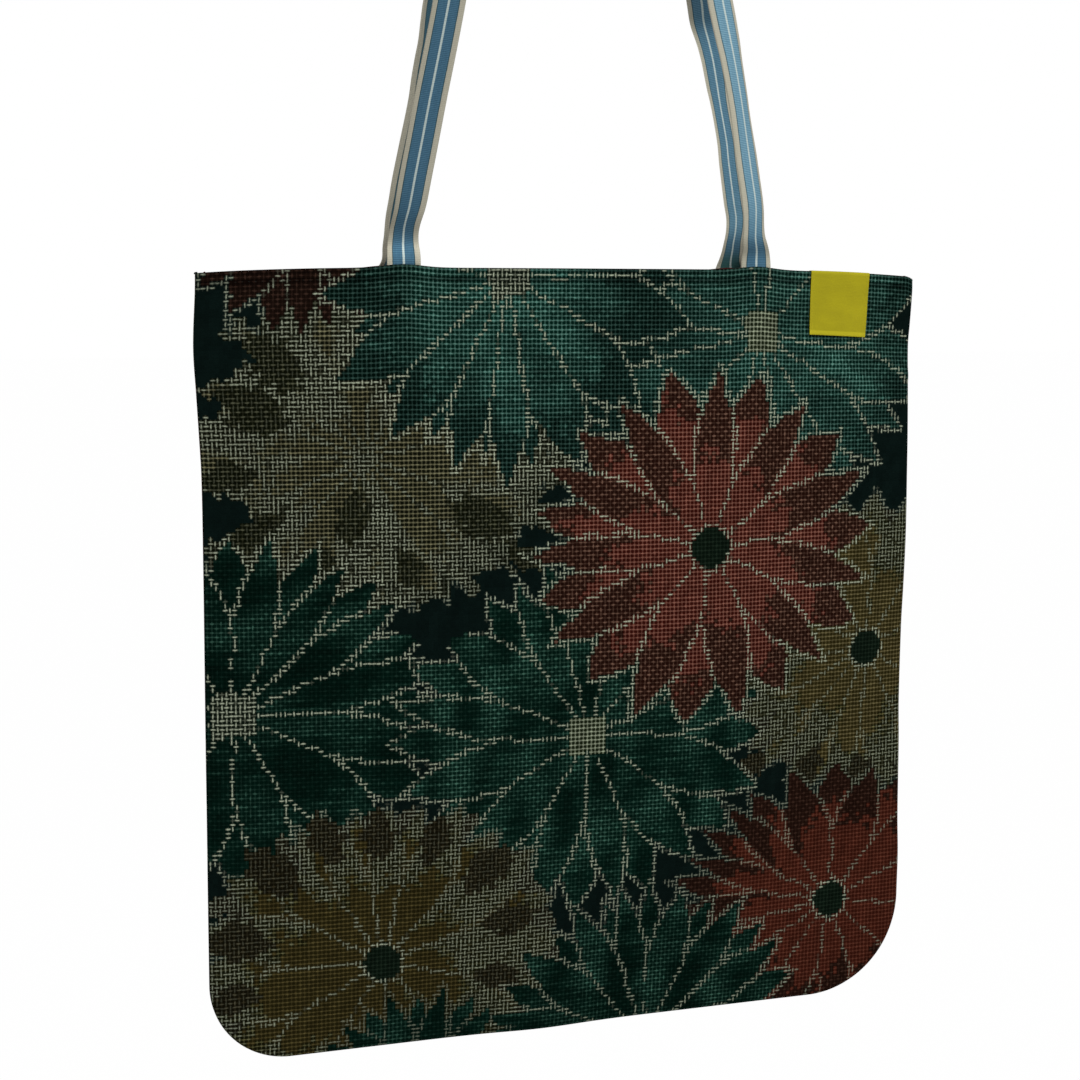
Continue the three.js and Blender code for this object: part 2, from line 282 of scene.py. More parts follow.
# Form of the bag, in metres: x across, drop below the mouth edge, depth away from the seam plane
bag = {
    "width": .350,
    "height": .360,
    "mouthZ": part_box("front_handle_left_end")[1].z,
    "leftCorner": .037,
    "rightCorner": .049,
    "belly": .015,          # bow of each panel
    "flatHalf": .042,       # half the width over which the bow is full
    "fullHeight": .200,     # height above the foot from which it is full
    "seamHalf": .00105,
    "puff": .0014,          # rounded edge beside the seam
    "roll": .006,
    "mouthArch": .0028,     # the mouth line stands higher in the middle
    "archPower": 4.5,
    "archFade": .085,
    "strapLift": .0015,     # the handles pull the mouth up
    "liftWidth": .012,
    "strapPull": .0009,     # and the cloth below them out
    "pullWidth": .017,
    "pullFade": .07,
    "stitchDrop": .005,
    "pressDepth": .00045,   # the row of stitches presses the cloth in
    "pressWidth": .0012,
    "cornerDip": .0012,     # the right end of the mouth lies lower
    "cornerIn": .0002,      # and further in
    "cornerReach": .004,
    "sagAt": -.016,         # where the foot hangs lowest
    "sagHalf": .026,
    "footSag": .001,
    "slack": .0006,         # size of the soft waves of the hanging cloth
    "slackEdge": .03,       # the waves grow from the edge over this width
}
# soft folds of the front: from and to as across and drop, half the width, height
folds = (((.110, .030), (.164, .064), .0050, .0011), ((.146, .034), (.176, .049), .0036, .0009))
foldEnd = .018              # length over which a fold runs out
# how far each side edge is drawn in, at drops below the mouth
leftEdgeIn = ((0, 0), (.032, -.0014), (.053, -.0005), (.072, .0004), (.090, .0011), (.130, .0011),
              (.165, .0009), (.207, .0006), (.243, .00045), (.285, .0002), (.350, 0))
rightEdgeIn = ((0, -.0005), (.0135, 0), (.023, .0006), (.033, .0013), (.053, .0008), (.073, .00035),
               (.093, .00015), (.127, 0), (.152, .00065), (.172, .0014), (.212, .0017), (.231, .0012),
               (.271, .00085), (.290, .0002), (.310, .0004), (.360, .0004))

handle = {
    "width": .015,
    "thickness": .0012,
    "edgeRound": .0006,
    "spacing": .171,
    "endLength": .028,
    "rise": .012,
    "topFlat": .036,
    "topRadius": .024,
    "topGap": .002,
    "baseOff": .00135,      # from the cloth's face to the near side of a sewn-in end
    "ribPitch": .0008,
    "step": .0008,
    "bendReach": .0022,     # half the length of the crease where a leg starts to lean
    "dentHeight": .006,
    "freeReach": .04,       # a leg sways and cups freely from this height above the mouth
    "freeEnd": .03,         # up to this far below the curve at its top
    "sway": .00012,
}
# each leg hangs its own way; keys are the bag's side and the hand, heights are above the mouth
legShifts = {  # how far a leg lies to the right of its straight line
    (-1, -1): ((0, .0009), (.013, .0008), (.022, .0003), (.030, .0007), (.042, .0010), (.060, .0016),
               (.078, .0020), (.095, .0024), (.112, .0026), (.125, .0026), (.265, 0)),
    (-1, 1): ((0, .0002), (.0156, .00035), (.0224, .0017), (.0294, .0029), (.036, .0036), (.045, .0039),
              (.0636, .00455), (.0817, .0050), (.0998, .00466), (.109, .0042), (.118, .0037), (.127, .0033),
              (.265, 0)),
    (1, -1): ((0, .0009), (.0055, .0011), (.0125, .0019), (.0255, .0021), (.041, .00305), (.059, .0037),
              (.077, .0043), (.086, .0040), (.0945, .0037), (.103, .00295), (.112, .0014), (.121, .0005),
              (.265, 0)),
    (1, 1): ((0, -.0008), (.0068, -.0006), (.0144, .0010), (.0215, .0031), (.0286, .0049), (.0356, .0050),
             (.0544, .0053), (.0637, .0058), (.082, .0054), (.100, .0052), (.109, .0045), (.119, .0032),
             (.128, .0035), (.265, 0)),
}
legTurns = {  # degrees out of the cloth's plane, none where the end is sewn in
    (-1, -1): ((-.028, 0), (-.003, 0), (0, 4), (.010, 25), (.022, 44), (.034, 34), (.060, 31), (.127, 31),
               (.170, 45), (.241, 90)),
    (-1, 1): ((-.028, 0), (0, 0), (.0064, 0), (.0156, 19), (.0224, 25), (.0545, 25), (.0726, 30),
              (.0817, 29), (.0998, 25), (.109, 19), (.127, 16), (.170, 40), (.241, 90)),
    (1, -1): ((-.028, 0), (-.003, 0), (0, 5), (.0055, 46), (.0125, 44), (.0255, 34), (.032, 29), (.041, 18),
              (.050, 14), (.086, 14), (.0945, 19), (.103, 32), (.112, 43), (.121, 48), (.170, 60),
              (.241, 90)),
    (1, 1): ((-.028, 0), (-.003, 0), (0, 5), (.0068, 56), (.0144, 69), (.0215, 72), (.0356, 71), (.073, 75),
             (.082, 74), (.091, 67), (.109, 61), (.119, 50), (.128, 40), (.170, 60), (.241, 90)),
}
legCreases = {  # depth of the crease near the mouth, how far its inner edge is taken in, and its height
    (-1, -1): (.0020, .0006, .018),
    (-1, 1): (.0008, .0003, .022),
    (1, -1): (.0008, .0004, .016),
    (1, 1): (.0012, .0004, .022),
}
legCups = {(-1, 1): 22}     # degrees by which a rolled leg's edges turn back
# along each leg, painted light and shade: how light the webbing is painted, how far its blue is painted paler
# as a highlight, and how far it is painted a shaded green
legPaintedLightTables = {
    (-1, -1): (((0, 1.3), (.005, 1.4), (.011, 1.7), (.015, 1.1), (.020, .84), (.030, .92), (.045, 1),
                (.265, 1)),
               ((0, 0), (.265, 0)), ((0, 0), (.265, 0))),
    (-1, 1): (((0, 1.4), (.006, 1.25), (.012, .75), (.020, 1.1), (.040, 1.2), (.265, 1.2)),
              ((0, .1), (.012, 0), (.024, .6), (.045, .85), (.130, .85), (.265, .3)), ((0, 0), (.265, 0))),
    (1, -1): (((0, .9), (.010, 1.1), (.030, 1.18), (.265, 1.18)), ((0, 0), (.265, 0)), ((0, .3), (.265, .3))),
    (1, 1): (((0, 1), (.010, 1.2), (.025, 2.2), (.100, 2.2), (.112, 1.9), (.122, .95), (.265, .8)),
             ((0, 0), (.014, .1), (.026, .5), (.045, .35), (.265, .2)),
             ((0, 1), (.008, .7), (.014, .1), (.265, 0))),
}


def clampShare(value):
    return min(1, max(0, value))


def smoothShare(value):
    share = clampShare(value)
    return share * share * (3 - 2 * share)


def hump(distance, half):
    return math.exp(-(distance / half) ** 2)


def along(points, place):  # smooth run through a few given pairs
    if place <= points[0][0]:
        return points[0][1]
    if place >= points[-1][0]:
        return points[-1][1]
    spot = next(index for index, point in enumerate(points) if place <= point[0])
    (start, first), (stop, last) = points[spot - 1], points[spot]
    slopes = []
    for at in (spot - 1, spot):
        inner = 0 < at < len(points) - 1
        before, after = (points[at - 1], points[at + 1]) if inner else ((0, 0), (1, 0))
        slopes.append((after[1] - before[1]) / (after[0] - before[0]) * (stop - start))
    share = (place - start) / (stop - start)
    bow = share * (share - 1) * ((share - 1) * slopes[0] + share * slopes[1])
    return first + (last - first) * smoothShare(share) + bow


def cornerGaps(x, drop, shrink):
    corner = (bag["leftCorner"] if x < 0 else bag["rightCorner"]) - shrink
    return corner, bag["width"] / 2 - shrink - abs(x), bag["height"] - shrink - drop


def outlineInset(x, drop, shrink=0):  # distance inside the outline
    corner, sideGap, footGap = cornerGaps(x, drop, shrink)
    if sideGap < corner and footGap < corner:
        return corner - math.hypot(corner - sideGap, corner - footGap)
    return min(sideGap, footGap)


def outward(x, drop, shrink=0):  # direction to the nearest point of the outline
    corner, sideGap, footGap = cornerGaps(x, drop, shrink)
    hand = -1 if x < 0 else 1
    if sideGap < corner and footGap < corner:
        way = Vector((hand * (corner - sideGap), corner - footGap))
        return way.normalized() if way.length > 0 else Vector((hand, 0))
    return Vector((hand, 0)) if sideGap < footGap else Vector((0, 1))


def faceDepth(x, drop, inset):
    planShare = clampShare((bag["width"] / 2 - abs(x)) / (bag["width"] / 2 - bag["flatHalf"]))
    heightShare = clampShare((bag["height"] - drop) / bag["fullHeight"])
    bow = bag["belly"] * math.sin(planShare * math.pi / 2) * math.sin(heightShare * math.pi / 2)
    roundShare = 1 - clampShare(inset / bag["roll"])
    return bag["seamHalf"] + bag["puff"] * math.sqrt(1 - roundShare * roundShare) + bow


def softWaves(x, drop, seed):
    rand = random.Random(seed)
    total = 0
    for _ in range(5):
        turn = rand.uniform(-.5, .5)
        pitch = rand.uniform(.07, .17)
        run = x * math.cos(turn) + drop * math.sin(turn)
        total += math.sin(run * math.tau / pitch + rand.uniform(0, 9))
    return total / 2.4


def stitchPress(drop, inset):
    return bag["pressDepth"] * hump(drop - bag["stitchDrop"], bag["pressWidth"]) * clampShare(inset / .01)


def foldHeight(x, drop):
    total = 0
    for (x0, drop0), (x1, drop1), half, height in folds:
        length = math.hypot(x1 - x0, drop1 - drop0)
        run = ((x - x0) * (x1 - x0) + (drop - drop0) * (drop1 - drop0)) / length
        off = ((x - x0) * (drop1 - drop0) - (drop - drop0) * (x1 - x0)) / length / half
        ends = smoothShare(run / foldEnd + .5) * (1 - smoothShare((run - length) / foldEnd + .5))
        total += height * (1 - .5 * off * off) * math.exp(-off * off) * ends
    return total


def relief(x, drop, inset, side):
    strapShare = hump(abs(x) - handle["spacing"] / 2, bag["pullWidth"])
    pull = bag["strapPull"] * strapShare * math.exp(-drop / bag["pullFade"])
    slack = bag["slack"] * softWaves(x, drop, 40 + side) * clampShare(inset / bag["slackEdge"])
    return pull + slack - stitchPress(drop, inset) + (foldHeight(x, drop) if side < 0 else 0)


def cornerShare(x, reach):  # grows to 1 at the right edge
    return smoothShare((x - bag["width"] / 2 + reach) / reach)


def mouthRise(x, drop):
    arch = bag["mouthArch"] * (1 - abs(2 * x / bag["width"]) ** bag["archPower"])
    lift = bag["strapLift"] * hump(abs(x) - handle["spacing"] / 2, bag["liftWidth"])
    corner = bag["cornerDip"] * cornerShare(x, bag["cornerReach"]) ** 2 * (1 - smoothShare(drop / .02))
    return (arch + lift) * (1 - smoothShare(drop / bag["archFade"])) - corner


def skinPoint(x, drop, off, side, inset=None):  # off is the way in from the cloth's outer face
    if inset is None:
        inset = max(0, outlineInset(x, drop))
    depth = faceDepth(x, drop, inset) + relief(x, drop, inset, side) - off
    edgeIn = along(leftEdgeIn if x < 0 else rightEdgeIn, drop) * abs(2 * x / bag["width"]) ** 3
    if x > 0:
        edgeIn += bag["cornerIn"] * cornerShare(x, bag["cornerReach"] * 3) * (1 - smoothShare(drop / .006))
    x -= edgeIn * (-1 if x < 0 else 1)
    low = bag["footSag"] * hump(x - bag["sagAt"], bag["sagHalf"]) * smoothShare((drop - .3) / .06)
    return Vector((x, side * depth, bag["mouthZ"] - drop + mouthRise(x, drop) - low))


# Flower pattern of the cloth: threads of a lattice, dyed before weaving
weave = {
    "cell": .002,           # between two threads of the lattice
    "start": (-4, -14),     # first column and row that are drawn
    "count": (184, 200),    # how many columns and rows
    "lineHalf": 1.05,       # mm, half the width of a drawn line
    "wander": .5,           # mm, how far the dyed threads slipped
    "fade": 2.2,            # how fast a pale thread goes under on both sides of a crossing
    "flips": .16,           # share of crossings where the other thread lies on top
    "knot": 1.35,           # how much duller a tinted thread is between its crossings
    "leaf": 1.7,            # how full a petal is towards its tip
    "fullest": .21,         # share of a flower's reach that a petal's half width stays under
    "mouthPaintedShade": (.78, 1, .62, .86),   # painted shade of the first rows below the mouth, at the fold and the row of stitches
    "repeat": 420,          # mm, length of the pattern along the cloth
    "seamFrom": 22,         # mm below the mouth where the dark red seam starts to show
    "foldPaintedHighlight": 260,      # painted highlight: how much lighter the cloth is painted on a fold, per metre of its height
    "seed": 7,
}
# colour between the threads and of the threads, as seen on screen
dyes = {
    "ground": ((9, 20, 18), (12, 24, 22)),
    "red": ((50, 13, 8), (144, 96, 81)),
    "redShade": ((32, 13, 8), (126, 96, 80)),
    "redLow": ((53, 20, 12), (102, 58, 44)),
    "redLowShade": ((28, 14, 9), (72, 50, 40)),
    "teal": ((2, 30, 23), (106, 154, 140)),
    "tan": ((14, 16, 7), (134, 131, 99)),
    "tanShade": ((10, 13, 4), (88, 88, 64)),
    "olive": ((40, 35, 13), (122, 112, 76)),
    "oliveLow": ((32, 28, 10), (92, 82, 48)),
    "oliveShade": ((17, 15, 6), (74, 66, 44)),
    "oliveRing": ((17, 18, 5), (112, 108, 68)),
    "green": ((2, 21, 15), (76, 116, 100)),
    "seam": ((75, 30, 19), (92, 44, 31)),
    "brown": ((21, 12, 8), (70, 50, 41)),
    "core": ((24, 32, 16), (168, 178, 150)),
    "woven": ((14, 22, 14), (96, 102, 86)),
    "disc": ((8, 18, 11), (38, 52, 40)),
}
creamThread = (180, 189, 164)
weftLed = ("tan", "tanShade", "olive", "oliveLow", "oliveRing")     # the threads across lie over the others
dyeNames = list(dyes)
shadeOf = {
    "red": "redShade", "redLow": "redLowShade", "tan": "tanShade", "olive": "oliveShade",
    "oliveLow": "oliveShade", "brown": "brown",
}
# one flower: at is its centre across and below the mouth in mm, wide how much wider than high, edges the
# bearings in degrees of the lines between its petals, split where those petals are widest, inner where their
# dark tips begin, woven the pale ring, bed how far cloth of its own shade reaches between the tips, line how
# pale the outlines are, behind the reach of the petals that show between the others, dark from where to where
# it darkens across, lit how light it is and how much more to the right and the foot, fall how its tone
# changes towards the tips; patches and gaps are spots of shade and of ground, as across, drop and size
anyFlower = {"wide": 1, "split": .5, "woven": 0, "bed": 0, "core": None, "behind": 1, "bright": 1,
             "dark": (-900, -999), "patches": (), "gaps": ()}
frontFlowers = [{**anyFlower, **flower} for flower in (  # lowest first
    {"at": (-104, 82), "reach": 74, "wide": 1.34, "dye": "tan", "line": .5, "inner": .42, "woven": 1,
     "bed": .93, "edges": (12, 36, 60, 84, 108, 132, 156, 180, 204, 228, 252, 276, 298, 320, 342),
     "patches": ((-109, 108, 10), (-84, 132, 8), (-50, 110, 12), (-142, 40, 12), (-164, 90, 9),
                 (-30, 128, 8), (-152, 60, 13), (-152, 114, 10), (-124, 132, 8)),
     "gaps": ((-172, 37, 22), (-174, 59, 10), (-175, 107, 22), (-16, 102, 7), (-24, 121, 10))},
    {"at": (-128, -36), "reach": 66, "dye": "brown", "line": .6, "inner": .3,
     "edges": (196, 222, 256, 281, 306, 334)},
    {"at": (-163, 197), "reach": 84, "wide": 1.24, "split": .47, "dye": "green", "lit": (.26, -.05, -.2),
     "line": .92, "inner": .62, "core": ("woven", 10),
     "edges": (0, 22, 43, 63, 90, 125, 165, 200, 235, 270, 300, 335)},
    {"at": (88.5, 29), "reach": 90, "wide": 1.12, "split": .6, "dye": "teal", "fall": -.15, "bright": .77,
     "dark": (40, -60), "line": .88, "inner": .68, "core": ("core", 8.5),
     "edges": (45, 82, 103, 154, 177, 192, 222, 252, 282, 306, 330, 352)},
    {"at": (-37, 4), "reach": 93, "wide": .97, "split": .68, "behind": .9, "dye": "teal", "fall": -.6,
     "bright": .97, "dark": (10, 60), "line": .9, "inner": .66, "core": ("woven", 9),
     "edges": (0, 40, 90, 135, 172, 197, 221, 243, 262, 279, 305, 332)},
    {"at": (152, 182), "reach": 80, "wide": 1.06, "dye": "olive", "line": .5, "inner": .6, "woven": .95,
     "bed": .9, "core": ("disc", 9), "edges": (20, 55, 88, 118, 150, 182, 204, 224, 246, 268, 300, 330),
     "patches": ((120, 240, 9), (88, 236, 7), (150, 248, 10))},
    {"at": (2.5, 214.5), "reach": 88, "wide": 1.08, "split": .47, "dye": "green", "bright": 1.12,
     "lit": (.47, -.1, 0), "line": .8, "inner": .62, "core": ("core", 9),
     "edges": (20, 48, 76, 104, 126, 157, 180, 210, 241, 268, 294, 324, 357),
     "gaps": ((-72, 158, 20), (-44, 138, 10))},
    {"at": (-95, 318), "reach": 80, "wide": 1.16, "dye": "oliveLow", "line": .5, "inner": .48, "woven": .95,
     "bed": .9, "core": ("disc", 9), "edges": (18, 48, 78, 100, 122, 148, 178, 208, 240, 275, 310, 345),
     "patches": ((-146, 270, 12), (-122, 256, 10), (-98, 256, 9), (-72, 260, 9), (-46, 276, 11),
                 (-34, 302, 10), (-40, 330, 9), (-162, 302, 12), (-164, 330, 9))},
    {"at": (135, 310), "reach": 72, "wide": 1.28, "split": .46, "dye": "redLow", "line": .42, "inner": .58,
     "core": ("disc", 9), "edges": (22, 50, 90, 128, 150, 168, 186, 206, 232, 262, 290, 320, 352)},
    {"at": (37, 374), "reach": 84, "wide": 1.06, "split": .56, "dye": "green", "lit": (.4, 0, 0), "line": .6,
     "inner": .62, "edges": (20, 44, 66, 90, 108, 128, 152, 175)},
    {"at": (-78, 392), "reach": 60, "dye": "green", "lit": (.3, 0, 0), "line": .3, "inner": .3,
     "edges": (38, 64, 90, 116, 142)},
    {"at": (63, 128), "reach": 87, "wide": 1.08, "split": .38, "dye": "red", "line": .92, "inner": .49,
     "core": ("disc", 10), "edges": (5, 37, 71, 106, 139, 168, 194, 225, 262, 300, 334)},
)]


def rearFlowers():  # the cloth's next repeat: the same flowers turned over and moved down half a repeat
    top = -40
    moved = []
    for flower in frontFlowers:
        x, drop = flower["at"]
        turned = tuple(sorted((180 - bearing) % 360 for bearing in flower["edges"]))
        if flower["core"] is None and len(turned) < 9:      # half a flower stays the same way up
            turned = flower["edges"]
        down = (drop + weave["repeat"] / 2 - top) % weave["repeat"] + top
        patches = tuple((-place, low + down - drop, size) for place, low, size in flower["patches"])
        moved.append(dict(flower, at=(-x, down), edges=turned, patches=patches))
    return moved


def unevenField(x, drop, seed, pitch):  # smooth values about -1 to 1
    rand = random.Random(seed)
    total = 0 * x
    for _ in range(5):
        turn = rand.uniform(0, math.tau)
        step = pitch * rand.uniform(.6, 1.6)
        run = x * math.cos(turn) + drop * math.sin(turn)
        total = total + numpy.sin(run * math.tau / step + rand.uniform(0, 9))
    return total / 2.6


class Draft:  # what is drawn at each crossing of the cloth
    def __init__(self, x, drop):
        self.x = x + weave["wander"] * unevenField(x, drop, 91, 14)
        self.drop = drop + weave["wander"] * unevenField(x, drop, 92, 14)
        self.dye = numpy.zeros(x.shape, int)
        self.mesh = numpy.zeros(x.shape)        # all threads in the flower's own colour
        self.dots = numpy.zeros(x.shape)        # every second crossing in its own colour
        self.drawn = numpy.zeros(x.shape)       # every second crossing, pale
        self.tone = numpy.ones(x.shape)         # how light both colours are, with the painted shade at the mouth and the painted highlight on the folds
        self.streaks = unevenField(x * .12, drop, 93, 4)
        self.edge = .12 * (numpy.random.default_rng(3).random(x.shape) - .5)

    def uneven(self, seed, pitch):
        return unevenField(self.x, self.drop, seed, pitch)

    def awayFrom(self, x, drop):  # to the right, and upwards
        return self.x - x, drop - self.drop

    def fill(self, where, dye, mesh=0, dots=0, drawn=0, tone=1):
        self.dye = numpy.where(where, dyeNames.index(dye), self.dye)
        for name, value in (("tone", tone), ("mesh", mesh), ("dots", dots), ("drawn", drawn)):
            setattr(self, name, numpy.where(where, value, getattr(self, name)))

    def line(self, where, strength):
        self.drawn = numpy.where(where, strength, self.drawn)
        self.dots = numpy.where(where, 0, self.dots)
        self.mesh = numpy.where(where, self.mesh * .6, self.mesh)


def alongAcross(dx, dy, turn):
    return dx * math.cos(turn) + dy * math.sin(turn), dy * math.cos(turn) - dx * math.sin(turn)


def drawPetal(draft, flower, bearing, reach, half, start, spread, rand, seed, main):
    dx, dy = draft.awayFrom(*flower["at"])
    run, across = alongAcross(dx, dy, math.radians(bearing))
    run = run / reach
    across = across + rand.uniform(-.03, .03) * reach * run ** 2
    leaf = half * (1 - numpy.clip((run - start) / (1 - start), 0, 2) ** weave["leaf"])
    width = numpy.minimum(leaf, numpy.maximum(run, 0) * reach * spread)
    gap = numpy.where(run < 0, 99, (numpy.abs(across) - width) * .93)
    lineHalf = weave["lineHalf"] * (.9 + .3 * numpy.clip(run * 2 - .8, 0, 1))
    share = numpy.clip(across / numpy.maximum(width, .1), -1, 1)
    uneven = .2 if flower["woven"] else .07
    darkFrom = (flower["inner"] + rand.uniform(-uneven, uneven)) if main else rand.uniform(.68, .78)
    darkFrom = darkFrom + rand.uniform(-.15, .15) * share - .1 * share ** 2
    darkFrom = darkFrom + .035 * draft.uneven(seed, 9) + draft.edge
    fillPetal(draft, flower, gap < -lineHalf, run, darkFrom, draft.uneven(seed + 50, 30))
    draft.line((numpy.abs(gap) <= lineHalf) & (run < 1 + weave["lineHalf"] / reach), flower["line"])


def fillPetal(draft, flower, inside, run, darkFrom, field):
    dye = flower["dye"]
    if flower["woven"]:
        ring = numpy.clip((run - darkFrom + .1 * field) / .1, 0, 1) * flower["woven"]
        ringDye, most, lost, pale = ("tan", .9, .82, .66) if dye == "tan" else ("oliveRing", .92, .7, .5)
        draft.fill(inside, dye, .9)
        draft.fill(inside & (ring > 0), ringDye, most * (1 - ring * lost), 0, ring * pale)
    elif dye == "teal":
        nearEnd, farEnd = flower["dark"]
        shaded = .45 * numpy.clip((nearEnd - draft.x) / (nearEnd - farEnd) + .4, 0, 1)
        tone = 1.2 + flower["fall"] * run + .16 * field + .12 * draft.streaks
        tone = tone - .3 * (run > darkFrom + .08) - shaded
        draft.fill(inside, dye, .6, .85, 0, numpy.clip(tone * flower["bright"], .5, 1.25))
    elif dye == "green":
        dx, dy = draft.awayFrom(*flower["at"])
        tone = (.92 + .12 * run + .12 * field + .08 * draft.streaks) * flower["bright"]
        level, toRight, toFoot = flower["lit"]
        aside, below = dx / flower["reach"] * toRight, -dy / flower["reach"] * toFoot
        lit = numpy.clip(level + aside + below + .4 * field + .2 * draft.streaks, .14, 1)
        draft.fill(inside, dye, .34 * lit, .8 * lit, 0, numpy.clip(tone, .7, 1.3))
    else:
        draft.fill(inside, dye, .95)
        draft.fill(inside & (run > darkFrom), shadeOf[dye], .22, .95)


def halfSpread(gap, widest):  # slope of a petal's side from the middle of the flower
    return math.tan(math.radians(min(gap, widest) / 2))


def drawFlower(draft, flower, seed):
    rand = random.Random(seed)
    edges = flower["edges"]
    gaps = [(after - before) % 360 for before, after in zip(edges, edges[1:] + edges[:1])]
    if edges[-1] - edges[0] <= 250:     # only a part of a flower, open between its last edge and its first
        gaps = gaps[:-1]

    def reachAt(bearing):
        turn = math.radians(bearing)
        return flower["reach"] / math.hypot(math.cos(turn) / flower["wide"], math.sin(turn))

    if flower["bed"]:  # what lies between the tips of a pale flower
        dx, dy = draft.awayFrom(*flower["at"])
        far = numpy.hypot(dx / flower["wide"], dy) / flower["reach"]
        draft.fill(far < flower["bed"] + .07 * draft.uneven(seed, 16), shadeOf[flower["dye"]], .2, 0, .46)
    for place, bearing in enumerate(edges):  # petals that show between the others
        gap = (gaps[place % len(gaps)] + gaps[place - 1]) / 2
        reach = reachAt(bearing) * rand.uniform(.95, 1.02) * flower["behind"]
        half = reach * .518 * halfSpread(gap, 38)
        drawPetal(draft, flower, bearing, reach, half, .66, 9, rand, seed, False)
    for bearing, gap in zip(edges, gaps):
        middle = bearing + gap / 2
        reach = reachAt(middle) * rand.uniform(.96, 1.03)
        spread = halfSpread(gap, 60)
        half = min(reach * flower["split"] * spread, reach * weave["fullest"])
        drawPetal(draft, flower, middle, reach, half, .6, spread * 1.02, rand, seed, True)
    for x, drop, size in flower["patches"]:  # leaf shapes that point away from the middle
        turn = math.atan2(drop - flower["at"][1], x - flower["at"][0])
        run, across = alongAcross(draft.x - x, draft.drop - drop, turn)
        far = numpy.abs(run / (size * 1.35)) ** 1.6 + numpy.abs(across / (size * .8)) ** 1.3
        far = far + .2 * draft.uneven(seed, 7)
        draft.fill(far + 3 * draft.edge < 1, shadeOf[flower["dye"]], .2, .7, .08)
    for x, drop, size in flower["gaps"]:  # where the ground shows between the tips
        far = numpy.abs(draft.x - x) / size + numpy.abs((draft.drop - drop) / (size * .55)) ** 1.5
        draft.fill(far + .2 * draft.uneven(seed, 8) < 1, "ground")
    if flower["core"]:
        drawCore(draft, flower)


def drawCore(draft, flower):
    kind, size = flower["core"]
    dx, dy = draft.awayFrom(*flower["at"])
    if kind == "disc":
        far = numpy.hypot(dx, dy)
        draft.fill(far < size, "disc", .6)
        draft.line(numpy.abs(far - size - .6) < 1, .85)
    else:
        mesh, drawn = (.5, .9) if kind == "woven" else (.95, 0)
        draft.fill(numpy.maximum(numpy.abs(dx), numpy.abs(dy)) < size, kind, mesh, 0, drawn)


def drawCloth(x, drop, flowers):
    draft = Draft(x, drop)
    for place, flower in enumerate(flowers):
        drawFlower(draft, flower, weave["seed"] + place)
    draft.fill((x > bag["width"] / mm / 2) & (drop > weave["seamFrom"]), "seam", .5)
    return draft


def clothColours(flowers, folded):  # four values of every lattice cell for each attribute of the cloth
    (firstColumn, firstRow), (columns, rows) = weave["start"], weave["count"]
    column, row = numpy.meshgrid(numpy.arange(columns), numpy.arange(rows), indexing="ij")
    i, j = column + firstColumn, row + firstRow
    cell = weave["cell"] / mm
    x, drop = (i + .5) * cell - bag["width"] / mm / 2, (j + .5) * cell
    draft = drawCloth(x, drop, flowers)
    # painted highlight along the crests of the soft folds of the front
    if folded:
        crests = numpy.array([foldHeight(*place) for place in zip(x.ravel() * mm, drop.ravel() * mm)])
        draft.tone *= 1 + weave["foldPaintedHighlight"] * crests.reshape(i.shape)
    # painted shade on the rows at the mouth's fold and its row of stitches
    for place, tone in enumerate(weave["mouthPaintedShade"], -firstRow):
        draft.tone[:, place] *= tone
        draft.drawn[:, place] *= tone
    dice = numpy.random.default_rng(5)
    turned = (unevenField(i * 1.0, j * 1.0, 77, 7) > .55).astype(int)
    even = (i + j + turned) % 2 == 0
    led = numpy.isin(draft.dye, [dyeNames.index(name) for name in weftLed])
    acrossTone = dice.uniform(.85, 1.1, rows)[row]
    downTone = dice.uniform(.7, .95, columns)[column] * numpy.where(led, .6, 1)
    acrossOnTop = even ^ (dice.random(i.shape) < weave["flips"])
    levels = []
    for tone, onTop in ((acrossTone, acrossOnTop), (downTone, ~acrossOnTop)):
        chance = dice.random(i.shape)
        pale = draft.drawn * numpy.where(chance > .08, .66 + .34 * chance, .15) * numpy.where(onTop, 1, .1)
        dots = draft.dots * numpy.where(even, .75 + .25 * chance, .4 * (chance > .6))
        dots = dots * numpy.where(onTop, 1, .5)
        levels.append((numpy.maximum(draft.mesh * (.7 + .4 * chance) * tone, dots), pale))
    (tintAcross, paleAcross), (tintDown, paleDown) = levels
    between, threads = (numpy.array([linear(*dyes[name][part]) for name in dyeNames]) for part in (0, 1))
    mottle = 1 + .07 * unevenField(i * cell, j * cell, 95, 10) + .14 * (dice.random(i.shape) - .5)
    lightness = numpy.stack([(draft.tone * mottle) ** 1.6] * 3 + [numpy.ones(i.shape)], axis=-1)
    arms = [numpy.roll(level, step, axis)
            for axis, level in enumerate((paleAcross, paleDown)) for step in (1, -1)]
    return {
        "betweenThreads": between[draft.dye] * lightness,
        "threadColour": threads[draft.dye] * lightness,
        "threadLevels": numpy.clip(numpy.stack([tintAcross, tintDown, paleAcross, paleDown], axis=-1), 0, 1),
        "paleArms": numpy.clip(numpy.stack(arms, axis=-1), 0, 1),   # how pale it is left, right, above, below
    }


def paintCells(mesh, colours):  # gives every face the values of its lattice cell
    weaveMap = mesh.uv_layers["weave"].data
    rows, columns = [], []
    for face in mesh.polygons:
        u = sum(weaveMap[loop].uv.x for loop in face.loop_indices) / face.loop_total
        v = sum(weaveMap[loop].uv.y for loop in face.loop_indices) / face.loop_total
        columns.append(math.floor(u) - weave["start"][0])
        rows.append(math.floor(v) - weave["start"][1])
    for name, values in colours.items():
        attribute = mesh.attributes.new(name, "FLOAT_COLOR", "FACE")
        attribute.data.foreach_set("color", values[columns, rows].astype(numpy.float32).ravel())


